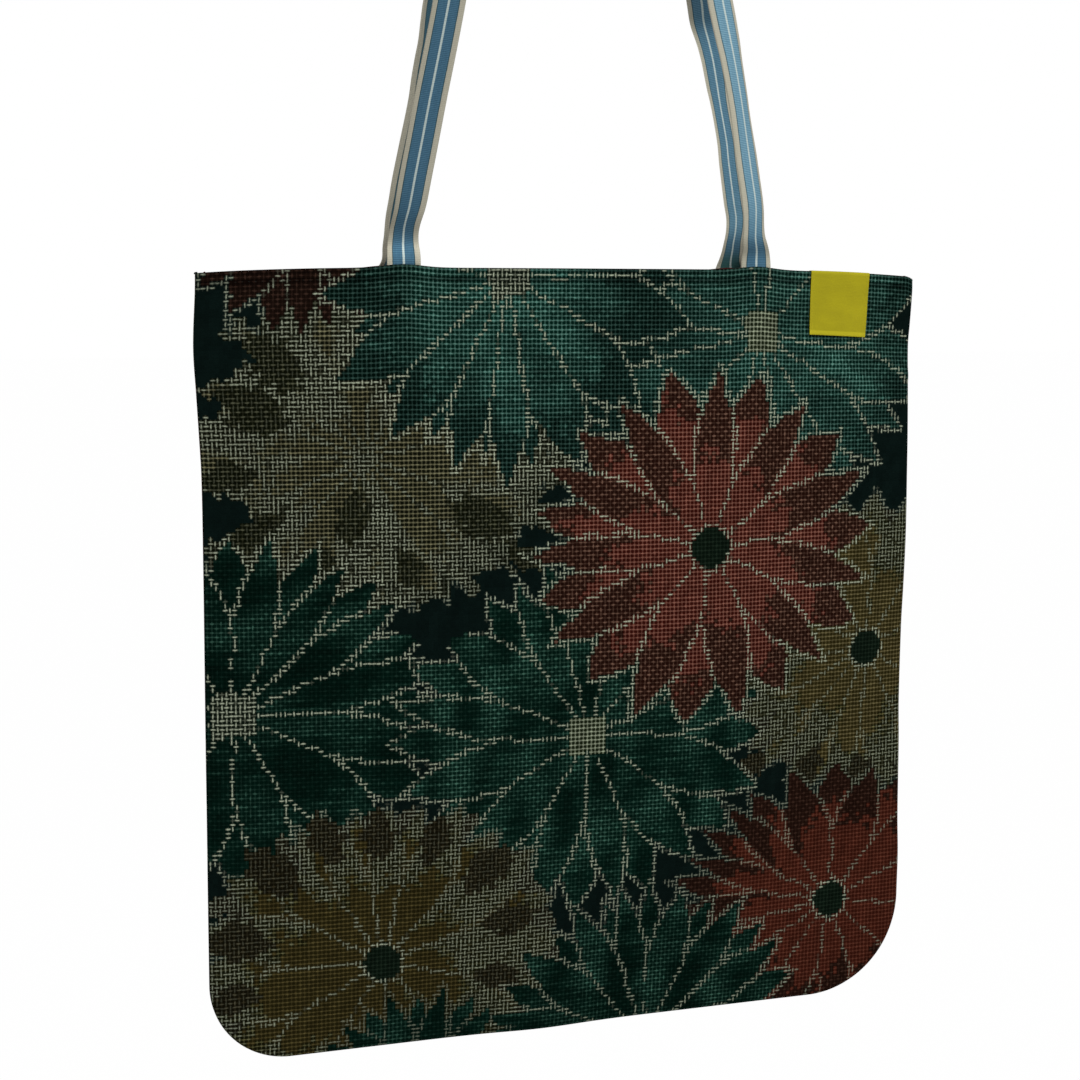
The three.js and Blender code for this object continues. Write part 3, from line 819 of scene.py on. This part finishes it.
# Panels: one grid each, laid over the form, cut to the rounded outline and rolled in at the seam
panel = {
    "lip": .000475,         # radius of the fold along the mouth
    "hemCells": 8,
    "cutInset": .00045,     # the flat cloth ends this far inside the outline, where the roll begins
    # inset and depth of each step of the roll
    "roll": ((.00012, .0012), (0, .0008), (.0001, .00045), (.00045, .0003), (.001, .0003)),
    "rollFade": .0016,      # cloth that lies this far in has no roll
    "leftSlip": -.1,        # cells by which the pattern runs on at each step of the roll
    "rightSlip": .4,
    "clothThickness": .00045,
    "liningThickness": .0004,
    "liningCell": .003,
    "liningHemCells": 5,
    "liningInset": .004,
    "liningOff": .00215,    # from the outer face to the face of the lining
    "pocketOff": .0015,     # how far the lining gives way round a sewn-in end
    "pocketEdge": .0043,    # where the lining lies flat again, beyond the end's own edge
    "pocketFade": .004,
    "interfacingCell": .006,
    "interfacingOff": .00075,
    "interfacingThickness": .0003,
    "interfacingInset": .0107,
    "interfacingDrop": .0157,
}


def gridOver(columns, rows):  # a grid whose crossings sit at whole numbers
    shape = bmesh.new()
    bmesh.ops.create_grid(shape, x_segments=columns, y_segments=rows, size=1)
    for vert in shape.verts:
        vert.co.x = round((vert.co.x + 1) / 2 * columns)
        vert.co.y = round((vert.co.y + 1) / 2 * rows)
    return shape


def deleteFaces(shape, chosen):
    bmesh.ops.delete(shape, geom=[face for face in shape.faces if chosen(face)], context="FACES")


def turnTo(shape, facing):  # panels look to the front, -1, or to the back, 1
    shape.normal_update()
    centre = Vector((0, 0, -.45))
    middle = min(shape.faces, key=lambda face: (face.calc_center_median() - centre).length)
    if middle.normal.y * facing < 0:
        bmesh.ops.reverse_faces(shape, faces=shape.faces)


def foldRows(cell, hemCells, downCells):  # lattice rows from inside the hem over the fold to the foot
    hem = [-row for row in range(hemCells, 0, -1)]
    share = panel["lip"] * 1.4 / cell
    fold = [-share, -share * .67, -share * .33, 0, share * .33, share * .67, share]
    return hem + fold + list(range(1, downCells + 1)), share


def foldProfile(row, cell, share, lip):  # way in from the face, and drop
    turn = clampShare(1 - abs(row) / share) * math.pi / 2
    if abs(row) < share:
        drop = lip * (1 - math.sin(turn))
    elif abs(row) < 1:
        drop = lip + (abs(row) - share) * (cell - lip) / (1 - share)
    else:
        drop = abs(row) * cell
    off = lip * (1 - math.cos(turn))
    return (2 * lip - off if row < 0 else off), drop


def buildPanel(name, side, facing, cell, shrink, hemCells, offAt):
    columns = round((bag["width"] - 2 * shrink) / cell)
    downCells = round((bag["height"] - shrink) / cell)
    rows, share = foldRows(cell, hemCells, downCells)
    shape = gridOver(columns, len(rows) - 1)
    lattice = shape.verts.layers.float_vector.new("lattice")
    home = shape.verts.layers.float_vector.new("home")
    halfWidth = bag["width"] / 2 - shrink
    gone = set()
    for vert in shape.verts:
        row = rows[round(vert.co.y)]
        off, drop = foldProfile(row, cell, share, panel["lip"])
        x = vert.co.x / columns * 2 * halfWidth - halfWidth
        inset = outlineInset(x, drop, shrink)
        if inset < panel["cutInset"]:
            way = outward(x, drop, shrink)
            x += way.x * (inset - panel["cutInset"])
            drop += way.y * (inset - panel["cutInset"])
        if inset < -.2 * cell and row > 0:
            gone.add(vert)
        vert[lattice] = ((x + bag["width"] / 2) / weave["cell"], row if row < 1 else drop / weave["cell"], 0)
        vert[home] = (x, drop, off)
        vert.co = skinPoint(x, drop, offAt(x, drop, off), side)
    deleteFaces(shape, lambda face: all(vert in gone for vert in face.verts))
    deleteFaces(shape, lambda face: face.calc_area() < cell * cell * .004)
    rollSeam(shape, lattice, home, side, shrink)
    bmesh.ops.remove_doubles(shape, verts=shape.verts, dist=.00002)
    weaveMap = shape.loops.layers.uv.new("weave")
    for face in shape.faces:
        for loop in face.loops:
            loop[weaveMap].uv = loop.vert[lattice].xy
    turnTo(shape, facing)
    return smoothMesh(name, shape)


def rollSeam(shape, lattice, home, side, shrink):  # turns the cut edge in towards the seam
    def onSeam(vert):
        x, drop = vert[home].xy
        return outlineInset(x, drop, shrink) < panel["cutInset"] + .00002 and vert[lattice].y > -.7

    edges = [edge for edge in shape.edges if edge.is_boundary and all(onSeam(vert) for vert in edge.verts)]
    for inset, depth in panel["roll"]:
        made = bmesh.ops.extrude_edge_only(shape, edges=edges)["geom"]
        edges = [item for item in made if isinstance(item, bmesh.types.BMEdge)]
        for vert in {vert for edge in edges for vert in edge.verts}:
            x, drop, off = vert[home]
            way = outward(x, drop, shrink) * (panel["cutInset"] - inset)
            vert.co = skinPoint(x + way.x, drop + way.y, 0, side, 0)
            vert.co.y = side * depth * (1 - off / panel["rollFade"])
            vert[lattice].x += way.x / weave["cell"] + panel["rightSlip" if x > 0 else "leftSlip"]


def thicken(made, thickness):
    solid = made.modifiers.new("ply", "SOLIDIFY")
    solid.thickness = thickness
    solid.offset = -1
    solid.use_rim = True


def liningOff(x, drop):  # way in to the lining, which gives way over a sewn-in handle end
    edge, fade = panel["pocketEdge"], panel["pocketFade"]
    aside = handle["width"] / 2 + edge - abs(abs(x) - handle["spacing"] / 2)
    above = handle["endLength"] + edge - drop
    return panel["liningOff"] + panel["pocketOff"] * smoothShare(aside / fade) * smoothShare(above / fade)


def clothFinish():
    finish = Finish("patternedCloth")
    weaveMap, u, v = finish.mapped("weave")
    across = finish.maths("FRACT", u) - .5
    down = finish.maths("FRACT", v) - .5
    slip = finish.noise(weaveMap, .9, 1) - .5
    slipDown = finish.noise(weaveMap, 1.1, 1, (1.3, 1.1, 1)) - .5
    stout = finish.noise(weaveMap, 1.2, 1, (.7, 1.9, 1)) * .14
    acrossLine = finish.clamped((.15 + stout - finish.size(down + slip * .2)) / .13)
    downLine = finish.clamped((.14 + stout - finish.size(across + slipDown * .2)) / .13)
    tintAcross, tintDown, paleAcross = finish.parts(finish.attribute("threadLevels"), "Color")
    paleDown = finish.attribute("threadLevels", "Alpha")
    left, right, above = finish.parts(finish.attribute("paleArms"), "Color")
    below = finish.attribute("paleArms", "Alpha")
    tinted = finish.larger(tintAcross * acrossLine * (1 - finish.size(across) * weave["knot"]),
                           tintDown * downLine * (1 - finish.size(down) * weave["knot"]))

    def bar(own, before, after, way):  # a pale thread shows over its crossing and a little past it
        beside = before + (after - before) * finish.maths("GREATER_THAN", way, 0)
        far = finish.size(way)
        return finish.larger(own * finish.clamped(1.5 - far * weave["fade"]),
                             beside * finish.clamped(1.5 - (1 - far) * weave["fade"]))

    pale = finish.larger(bar(paleAcross, left, right, across) * acrossLine,
                         bar(paleDown, above, below, down) * downLine)
    fine = finish.wave(u * (math.tau * 4)) * finish.wave(v * (math.tau * 4))
    yarn = finish.noise(weaveMap, 1.4, 3, (.8, 3.2, 1))
    cloud = finish.noise(weaveMap, .035, 3)
    colour = finish.mix(tinted, finish.attribute("betweenThreads"), finish.attribute("threadColour"))
    colour = finish.mix(pale, colour, linear(*creamThread))
    colour = finish.tinted(colour, (.80 + yarn * .3 + fine * .05) * (.86 + cloud * .28))
    height = finish.larger(acrossLine * .6, downLine * .5) + finish.larger(tinted, pale) * .4
    height = height + fine * .12 + yarn * .3
    finish.wear(colour, .92 - pale * .1, .01)
    finish.bump(height, .55, .00025)
    return finish


def liningFinish():
    finish = Finish("plainLining")
    weaveMap, u, v = finish.mapped("weave")
    fine = finish.wave(u * (math.tau * 4)) * finish.wave(v * (math.tau * 4))
    slub = finish.noise(weaveMap, 1, 3, (.3, 5, 1))
    cloud = finish.noise(weaveMap, .04, 3)
    colour = finish.mix(slub, linear(66, 20, 20), linear(98, 34, 32))
    colour = finish.tinted(colour, (.9 + fine * .1) * (.85 + cloud * .3))
    finish.wear(colour, .84 + slub * .1, .1)
    finish.bump(fine * .5 + slub, .4, .0002)
    return finish


def interfacingFinish():
    finish = Finish("interfacing")
    place = finish.node("ShaderNodeTexCoord", {}, {}, "Object")
    fleece = finish.noise(place, 900, 4, dimensions="3D")
    clumps = finish.noise(place, 120, 3, dimensions="3D")
    colour = finish.mix(fleece, linear(205, 200, 188), linear(232, 229, 220))
    finish.wear(finish.tinted(colour, .85 + clumps * .25), .95, .2)
    finish.bump(fleece + clumps, .5, .0002)
    return finish


def buildInterfacing(word, side, finish):
    cell = panel["interfacingCell"]
    shrink = panel["interfacingInset"]
    top = panel["interfacingDrop"]
    width, height = bag["width"] - 2 * shrink, bag["height"] - shrink - top
    columns, rows = round(width / cell), round(height / cell)
    shape = gridOver(columns, rows)
    gone = set()
    for vert in shape.verts:
        x = (vert.co.x / columns - .5) * width
        drop = top + vert.co.y / rows * height
        inset = outlineInset(x, drop, shrink)
        if inset < 0:
            way = outward(x, drop, shrink)
            x += way.x * inset
            drop += way.y * inset
        if inset < -.2 * cell:
            gone.add(vert)
        vert.co = skinPoint(x, drop, panel["interfacingOff"], side)
    deleteFaces(shape, lambda face: all(vert in gone for vert in face.verts))
    turnTo(shape, side)
    made = addToBag(f"{word}_stiffener", smoothMesh(f"{word}_stiffener", shape), finish, "interfacing",
                    f"{word}_interfacing")
    thicken(made, panel["interfacingThickness"])


cloth = clothFinish()
lining = liningFinish()
stiffener = interfacingFinish()
for word, side, flowers in (("front", -1, frontFlowers), ("back", 1, rearFlowers())):
    name = f"{word}_outer_cloth"
    mesh = buildPanel(name, side, side, weave["cell"], 0, panel["hemCells"], lambda x, drop, off: off)
    paintCells(mesh, clothColours(flowers, side < 0))
    made = addToBag(name, mesh, cloth, "patterned_cloth", f"outer_{word}_panel")
    thicken(made, panel["clothThickness"])
    name = f"{word}_lining_cloth"
    mesh = buildPanel(name, side, -side, panel["liningCell"], panel["liningInset"], panel["liningHemCells"],
                      lambda x, drop, off: liningOff(x, drop) - off * .84)
    made = addToBag(name, mesh, lining, "plain_lining", f"lining_{word}_panel")
    thicken(made, panel["liningThickness"])
    buildInterfacing(word, side, stiffener)
    print(f"{word} panel, lining and stiffener made")


# Bands: webbing and ribbon, a flat section carried along a run of stations
def bandSection(width, thickness, edge, flats):  # points round the section
    half = width / 2 - edge
    face = [-half + 2 * half * place / (flats - 1) for place in range(flats)]
    top = [(x, thickness / 2) for x in face]
    foot = [(x, -thickness / 2) for x in reversed(face)]
    nearEdge = width / 2 - edge * .3
    right = [(nearEdge, thickness * .36), (width / 2, 0), (nearEdge, -thickness * .36)]
    left = [(-x, -y) for x, y in right]
    return top + right + foot + left


def buildBand(name, stations, section, place):  # place(station, across, up) gives a point
    around = len(section)
    shape = gridOver(len(stations) - 1, around)
    bandMap = shape.verts.layers.float_vector.new("band")
    width = max(x for x, y in section) * 2
    for vert in shape.verts:
        station = stations[round(vert.co.x)]
        x, y = section[round(vert.co.y) % around]
        vert[bandMap] = (x / width + .5, station, 0)
        vert.co = place(station, x, y)
    bmesh.ops.remove_doubles(shape, verts=shape.verts, dist=.000005)
    bmesh.ops.holes_fill(shape, edges=shape.edges, sides=around + 2)
    bmesh.ops.recalc_face_normals(shape, faces=shape.faces)
    bandUv = shape.loops.layers.uv.new("band")
    for face in shape.faces:
        for loop in face.loops:
            loop[bandUv].uv = loop.vert[bandMap].xy
    return smoothMesh(name, shape)


def handleLine():  # left half of a handle as x and z, from the sewn-in end to the middle of the top
    mouth = bag["mouthZ"]
    baseX = -handle["spacing"] / 2
    radius = handle["topRadius"]
    centre = Vector((-handle["topFlat"] / 2, handle["thickness"] / 2 - radius))
    bend = Vector((baseX, mouth + handle["rise"]))
    way = centre - bend
    lean = math.atan2(way.x, way.y) - math.asin(radius / way.length)
    legEnd = Vector((centre.x - radius * math.cos(lean), centre.y + radius * math.sin(lean)))
    reach = handle["bendReach"]
    line = [(baseX, mouth - handle["endLength"]), (baseX, bend.y - reach)]

    def shares(count):
        return [place / count for place in range(1, count + 1)]

    for share in shares(8):     # the crease
        line.append((baseX + math.sin(lean) * reach * share * share, bend.y + reach * (share * 2 - 1)))
    startX, startZ = line[-1]
    for share in shares(40):    # the leg
        line.append((startX + (legEnd.x - startX) * share, startZ + (legEnd.y - startZ) * share))
    for share in shares(16):    # the curve at its top
        angle = lean + (math.pi / 2 - lean) * share
        line.append((centre.x - radius * math.cos(angle), centre.y + radius * math.sin(angle)))
    line.append((0, handle["thickness"] / 2))
    return line, legEnd.y


def webbingFinish():
    finish = Finish("stripedWebbing")
    bandMap, share, length = finish.mapped("band")
    fromMiddle = finish.size(share - .5) * (handle["width"] / mm)
    fray = finish.noise(bandMap, 1, 2, (30, 700, 1)) - .5
    reach = fromMiddle + fray * .16
    white = finish.clamped((.58 - reach) / .16)
    beige = finish.clamped((reach - 5.0) / .16)
    border = finish.clamped(1 - finish.size(reach - 4.85) / .35)
    slip = finish.noise(bandMap, 1, 2, (14, 260, 1))
    rib = (finish.wave(length * (1 / handle["ribPitch"]) * math.tau) * .5 + .5) * (.55 + slip * .9)
    cord = finish.wave(share * (math.tau * 20))
    yarn = finish.noise(bandMap, 1, 3, (60, 1500, 1))
    # painted light of each leg: its lightness, a paler blue as painted highlight, a green as painted shade
    level, paleHighlight, shadeGreen = finish.parts(finish.attribute("legPaintedLight"), "Color")
    blue = finish.mix(rib, linear(50, 84, 106), linear(74, 112, 134))
    blue = finish.mix(shadeGreen, blue, linear(48, 86, 78))
    highlightBlue = finish.mix(rib, linear(84, 124, 144), linear(124, 162, 180))
    pale = finish.mix(rib, linear(166, 180, 176), linear(186, 199, 195))
    edge = finish.mix(rib, linear(164, 160, 143), linear(176, 172, 155))
    colour = finish.mix(paleHighlight, blue, highlightBlue)
    colour = finish.mix(white, colour, pale)
    colour = finish.mix(border, colour, linear(40, 66, 66))
    colour = finish.mix(beige, colour, edge)
    cloud = finish.noise(bandMap, 22, 2)
    # the leg's painted lightness scales the webbing's colour
    finish.wear(finish.tinted(colour, (.84 + yarn * .26) * (.9 + cloud * .2) * level), .8 - rib * .08, .12)
    finish.bump(rib * (.5 - beige * .35) + cord * .25 + yarn * .6, .4, .00018)
    return finish


def buildHandle(name, side, finish, node):
    half, arcStart = handleLine()
    xs, zs = numpy.array(half + [(-x, z) for x, z in reversed(half[:-1])]).T
    runs = numpy.concatenate([[0], numpy.cumsum(numpy.hypot(numpy.diff(xs), numpy.diff(zs)))])
    step = handle["step"]
    stations = [place * step for place in range(int(runs[-1] / step) + 1)]
    stations[-1] = float(runs[-1])
    mouth = bag["mouthZ"]
    baseDepth = faceDepth(handle["spacing"] / 2, 0, bag["roll"]) - handle["baseOff"] - handle["thickness"] / 2
    topDepth = handle["topGap"] / 2 + handle["width"] / 2
    rand = random.Random(60 + side)
    swings = [(rand.uniform(.10, .17), rand.uniform(0, 9)) for _ in range(3)]

    def spot(station):
        return float(numpy.interp(station, runs, xs)), float(numpy.interp(station, runs, zs))

    def place(station, across, up):
        x, z = spot(station)
        aheadX, aheadZ = spot(min(station + .001, runs[-1]))
        behindX, behindZ = spot(max(station - .001, 0))
        tangent = Vector((aheadX - behindX, 0, aheadZ - behindZ)).normalized()
        depth = baseDepth + (topDepth - baseDepth) * smoothShare((z - mouth) / (arcStart - mouth))
        free = smoothShare((z - mouth) / handle["freeReach"])
        free *= 1 - smoothShare((z - arcStart + handle["freeEnd"]) / handle["freeEnd"])
        sway = sum(math.sin(z * math.tau / pitch + phase) for pitch, phase in swings) * handle["sway"] * free
        leg = side, -1 if x < 0 else 1
        turn = math.radians(along(legTurns[leg], z - mouth))
        face = Vector((0, side, 0)) * math.cos(turn) + Vector((-tangent.z, 0, tangent.x)) * math.sin(turn)
        acrossWay = face.cross(tangent)
        dent, pinch, height = legCreases[leg]
        crease = hump(z - mouth - height, handle["dentHeight"])
        cup = math.radians(legCups.get(leg, 0)) * free
        if cup > .001:
            halfWidth = handle["width"] / 2
            angle = across / halfWidth * cup
            up -= (1 - math.cos(angle)) / cup * halfWidth
            across = math.sin(angle) / cup * halfWidth
        inner = clampShare(-leg[1] * acrossWay.x * across / handle["width"] * 2) ** 2
        across -= math.copysign(pinch * inner * crease, across)
        x += along(legShifts[leg], z - mouth) + sway
        centre = Vector((x, side * (depth + sway * .6 - (dent + pinch * .6 * inner) * crease), z))
        return centre + acrossWay * across + face * up

    section = bandSection(handle["width"], handle["thickness"], handle["edgeRound"], 7)
    mesh = buildBand(name, stations, section, place)
    # painted light and shade along each leg, from its tables
    paintedLightOf = mesh.attributes.new("legPaintedLight", "FLOAT_COLOR", "POINT")
    for vert, item in zip(mesh.vertices, paintedLightOf.data):
        tables = legPaintedLightTables[side, -1 if vert.co.x < 0 else 1]
        item.color = (*(along(table, vert.co.z - mouth) for table in tables), 1)
    nodes = (f"{node}_webbing", f"{node}_left_end", f"{node}_right_end")
    made = addPiece(name, mesh, finish, "striped_webbing", *nodes)
    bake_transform(made)


webbing = webbingFinish()
buildHandle("front_handle_band", -1, webbing, "front_handle")
buildHandle("rear_handle_band", 1, webbing, "rear_handle")
print("handles made")


# Label: one ribbon folded over the mouth
label = {
    "middle": .1314,
    "width": .0338,
    "thickness": .0004,
    "edgeRound": .0002,
    "frontDrop": .0294,
    "crown": .0001,         # height over the mouth edge
    "leftLean": .0008,      # how far the foot of each side edge lies to the left
    "rightLean": .0020,
    "sag": .0009,           # the right corner hangs lower
    "insideDrop": .030,
    "lift": .0005,          # clear of the row of stitches
    "tipLift": .0011,
    "cornerLift": .0004,
    "rib": .0007,
    "step": .0007,
    "hinge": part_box("label_flap")[1].z,
}


def labelFinish():
    finish = Finish("yellowRibbon")
    bandMap, share, run = finish.mapped("band")
    rib = finish.wave(run * (math.tau / label["rib"]))
    warp = finish.wave(share * (math.tau * 48))
    yarn = finish.noise(bandMap, 1, 3, (40, 3000, 1))
    cloud = finish.noise(bandMap, 1, 2, (3, 120, 1))
    tip = finish.clamped((.0022 - run) / .0003)
    # painted highlight along the fold over the mouth, and a lighter band at the tip
    top = finish.clamped(1 - finish.size(run - label["frontDrop"]) / .0016)
    colour = finish.mix(yarn, linear(158, 149, 8), linear(178, 167, 18))
    colour = finish.mix(finish.larger(tip, top) * .7, colour, linear(198, 187, 30))
    colour = finish.tinted(colour, (.95 + rib * warp * .05) * (.88 + cloud * .24))
    finish.wear(colour, .66 + yarn * .1, .2)
    finish.bump(rib * .4 + warp * .3 + yarn * .4 + tip * .8, .4, .00012)
    return finish


def buildLabel(finish):
    stackOff = panel["liningOff"]
    front = label["frontDrop"]
    over = (stackOff + 2 * label["lift"]) * 1.25
    length = front + over + label["insideDrop"]
    count = round(length / label["step"])
    stations = [length * place / count for place in range(count + 1)]

    def place(station, across, up):
        x = label["middle"] + across
        if station <= front:
            low = 1 - station / front
            rightShare = clampShare(across / label["width"] + .5)
            curl = smoothShare(low) ** 2 * label["tipLift"]
            corner = (abs(across) / label["width"] * 2) ** 2 * label["cornerLift"] * smoothShare(low)
            off = label["lift"] + curl + corner + up + stitchPress(front - station, 1)
            x -= (label["leftLean"] + (label["rightLean"] - label["leftLean"]) * rightShare) * low
            return skinPoint(x, front - station + label["sag"] * rightShare * low, -off, -1)
        if station <= front + over:
            angle = math.pi * (station - front) / over
            reach = stackOff / 2 + label["lift"] + up
            point = skinPoint(x, 0, stackOff / 2 - reach * math.cos(angle), -1)
            point.z += (label["crown"] + up) * math.sin(angle)
            return point
        return skinPoint(x, station - front - over, stackOff + label["lift"] + up, -1)

    section = bandSection(label["width"], label["thickness"], label["edgeRound"], 16)
    mesh = buildBand("label_ribbon", stations, section, place)
    made = addPiece("label_ribbon", mesh, finish, "yellow_ribbon", "label_fold", "label_flap")
    y = skinPoint(label["middle"], .0015, 0, -1).y
    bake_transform(made)


buildLabel(labelFinish())
print("label made")


# Sewing: rows of stitches along the mouth, and the threads in the seams
sewing = {
    "stitchLength": .0024,
    "stitchGap": .0005,
    "threadRadius": .00017,
    "proud": .00008,        # how far a stitch stands out of the cloth
    "wander": .00006,
    "margin": .006,
    "seamInset": .0013,
    "liningSeamInset": .0062,
    "seamRadius": .0002,
    "seamPitch": .003,
}


def threadFinish(name, dark, light):
    finish = Finish(name)
    place = finish.node("ShaderNodeTexCoord", {}, {}, "Object")
    x, y, z = finish.parts(place)
    twist = finish.wave((x + y + z * 1.6) * (math.tau / .0006))
    fuzz = finish.noise(place, 2600, 2, dimensions="3D")
    colour = finish.mix(fuzz, linear(*dark), linear(*light))
    finish.wear(finish.tinted(colour, .88 + twist * .12), .7 + fuzz * .1, .12)
    finish.bump(twist + fuzz, .4, .00006)
    return finish


def stitchRow(name, side, off, margin):
    shape = bmesh.new()
    long, radius = sewing["stitchLength"], sewing["threadRadius"]
    pitch = long + sewing["stitchGap"]
    count = int(2 * (bag["width"] / 2 - margin) / pitch)
    size = Matrix.Diagonal((long / 2, radius, radius, 1))
    rand = random.Random(name)
    for place in range(count):
        x = (place - (count - 1) / 2) * pitch
        drop = bag["stitchDrop"] + rand.uniform(-sewing["wander"], sewing["wander"])
        before, after = (skinPoint(x + reach, drop, off(x, drop), side) for reach in (-long / 2, long / 2))
        turn = (after - before).normalized().to_track_quat("X", "Z").to_matrix().to_4x4()
        bmesh.ops.create_uvsphere(shape, u_segments=8, v_segments=6, radius=1,
                                  matrix=Matrix.Translation((before + after) / 2) @ turn @ size)
    return smoothMesh(name, shape)


def seamStations(shrink, step):  # points down the left side, along the foot and up the right side
    halfWidth, foot = bag["width"] / 2 - shrink, bag["height"] - shrink
    left, right = bag["leftCorner"] - shrink, bag["rightCorner"] - shrink
    flat = 2 * halfWidth - left - right

    def shares(length):
        count = max(2, round(length / step))
        return [place / count for place in range(count)]

    def angles(radius):
        return [share * math.pi / 2 for share in shares(radius * math.pi / 2)]

    points = [(-halfWidth, share * (foot - left)) for share in shares(foot - left)]
    points += [(left - halfWidth - left * math.cos(angle), foot - left + left * math.sin(angle))
               for angle in angles(left)]
    points += [(left - halfWidth + share * flat, foot) for share in shares(flat)]
    points += [(halfWidth - right + right * math.sin(angle), foot - right + right * math.cos(angle))
               for angle in angles(right)]
    points += [(halfWidth, (1 - share) * (foot - right)) for share in shares(foot - right)]
    points.append((halfWidth, 0))
    return [(x, max(drop, .0012)) for x, drop in points]


def seamThread(name, shrink):
    path = []
    for place, (x, drop) in enumerate(seamStations(shrink, sewing["seamPitch"] / 4)):
        point = skinPoint(x, drop, 0, -1, 0)
        point.y = sewing["seamRadius"] * .5 * math.sin(place * math.pi / 2)
        path.append(point)
    section = [(math.cos(turn * math.tau / 6), math.sin(turn * math.tau / 6)) for turn in range(6)]
    radius = sewing["seamRadius"] * .6
    outwards = Vector((0, 1, 0))

    def place(station, across, up):
        tangent = (path[min(station + 1, len(path) - 1)] - path[max(station - 1, 0)]).normalized()
        other = tangent.cross(outwards).normalized()
        return path[station] + (outwards * across + other * up) * radius

    return buildBand(name, list(range(len(path))), section, place)


darkThread = (threadFinish("darkThread", (14, 22, 22), (34, 46, 44)), "dark_thread")
redThread = (threadFinish("redThread", (50, 18, 18), (84, 34, 32)), "red_thread")
proud = sewing["proud"]
for word, side in (("front", -1), ("back", 1)):
    name = f"{word}_mouth_stitches"
    margin = sewing["margin"]
    mesh = stitchRow(name, side, lambda x, drop: -proud, margin)
    addToBag(name, mesh, *darkThread, f"{word}_mouth_stitch_outside")
    name = f"{word}_lining_stitches"
    margin += panel["liningInset"]
    mesh = stitchRow(name, side, lambda x, drop: liningOff(x, drop) + proud, margin)
    addToBag(name, mesh, *redThread, f"{word}_mouth_stitch_inside")
for name, shrink, thread in (
    ("outer_seam", sewing["seamInset"], darkThread),
    ("lining_seam", sewing["liningSeamInset"], redThread),
):
    mesh = seamThread(f"{name}_stitching", shrink)
    addToBag(f"{name}_stitching", mesh, *thread, f"{name}_thread")
print("sewing made")
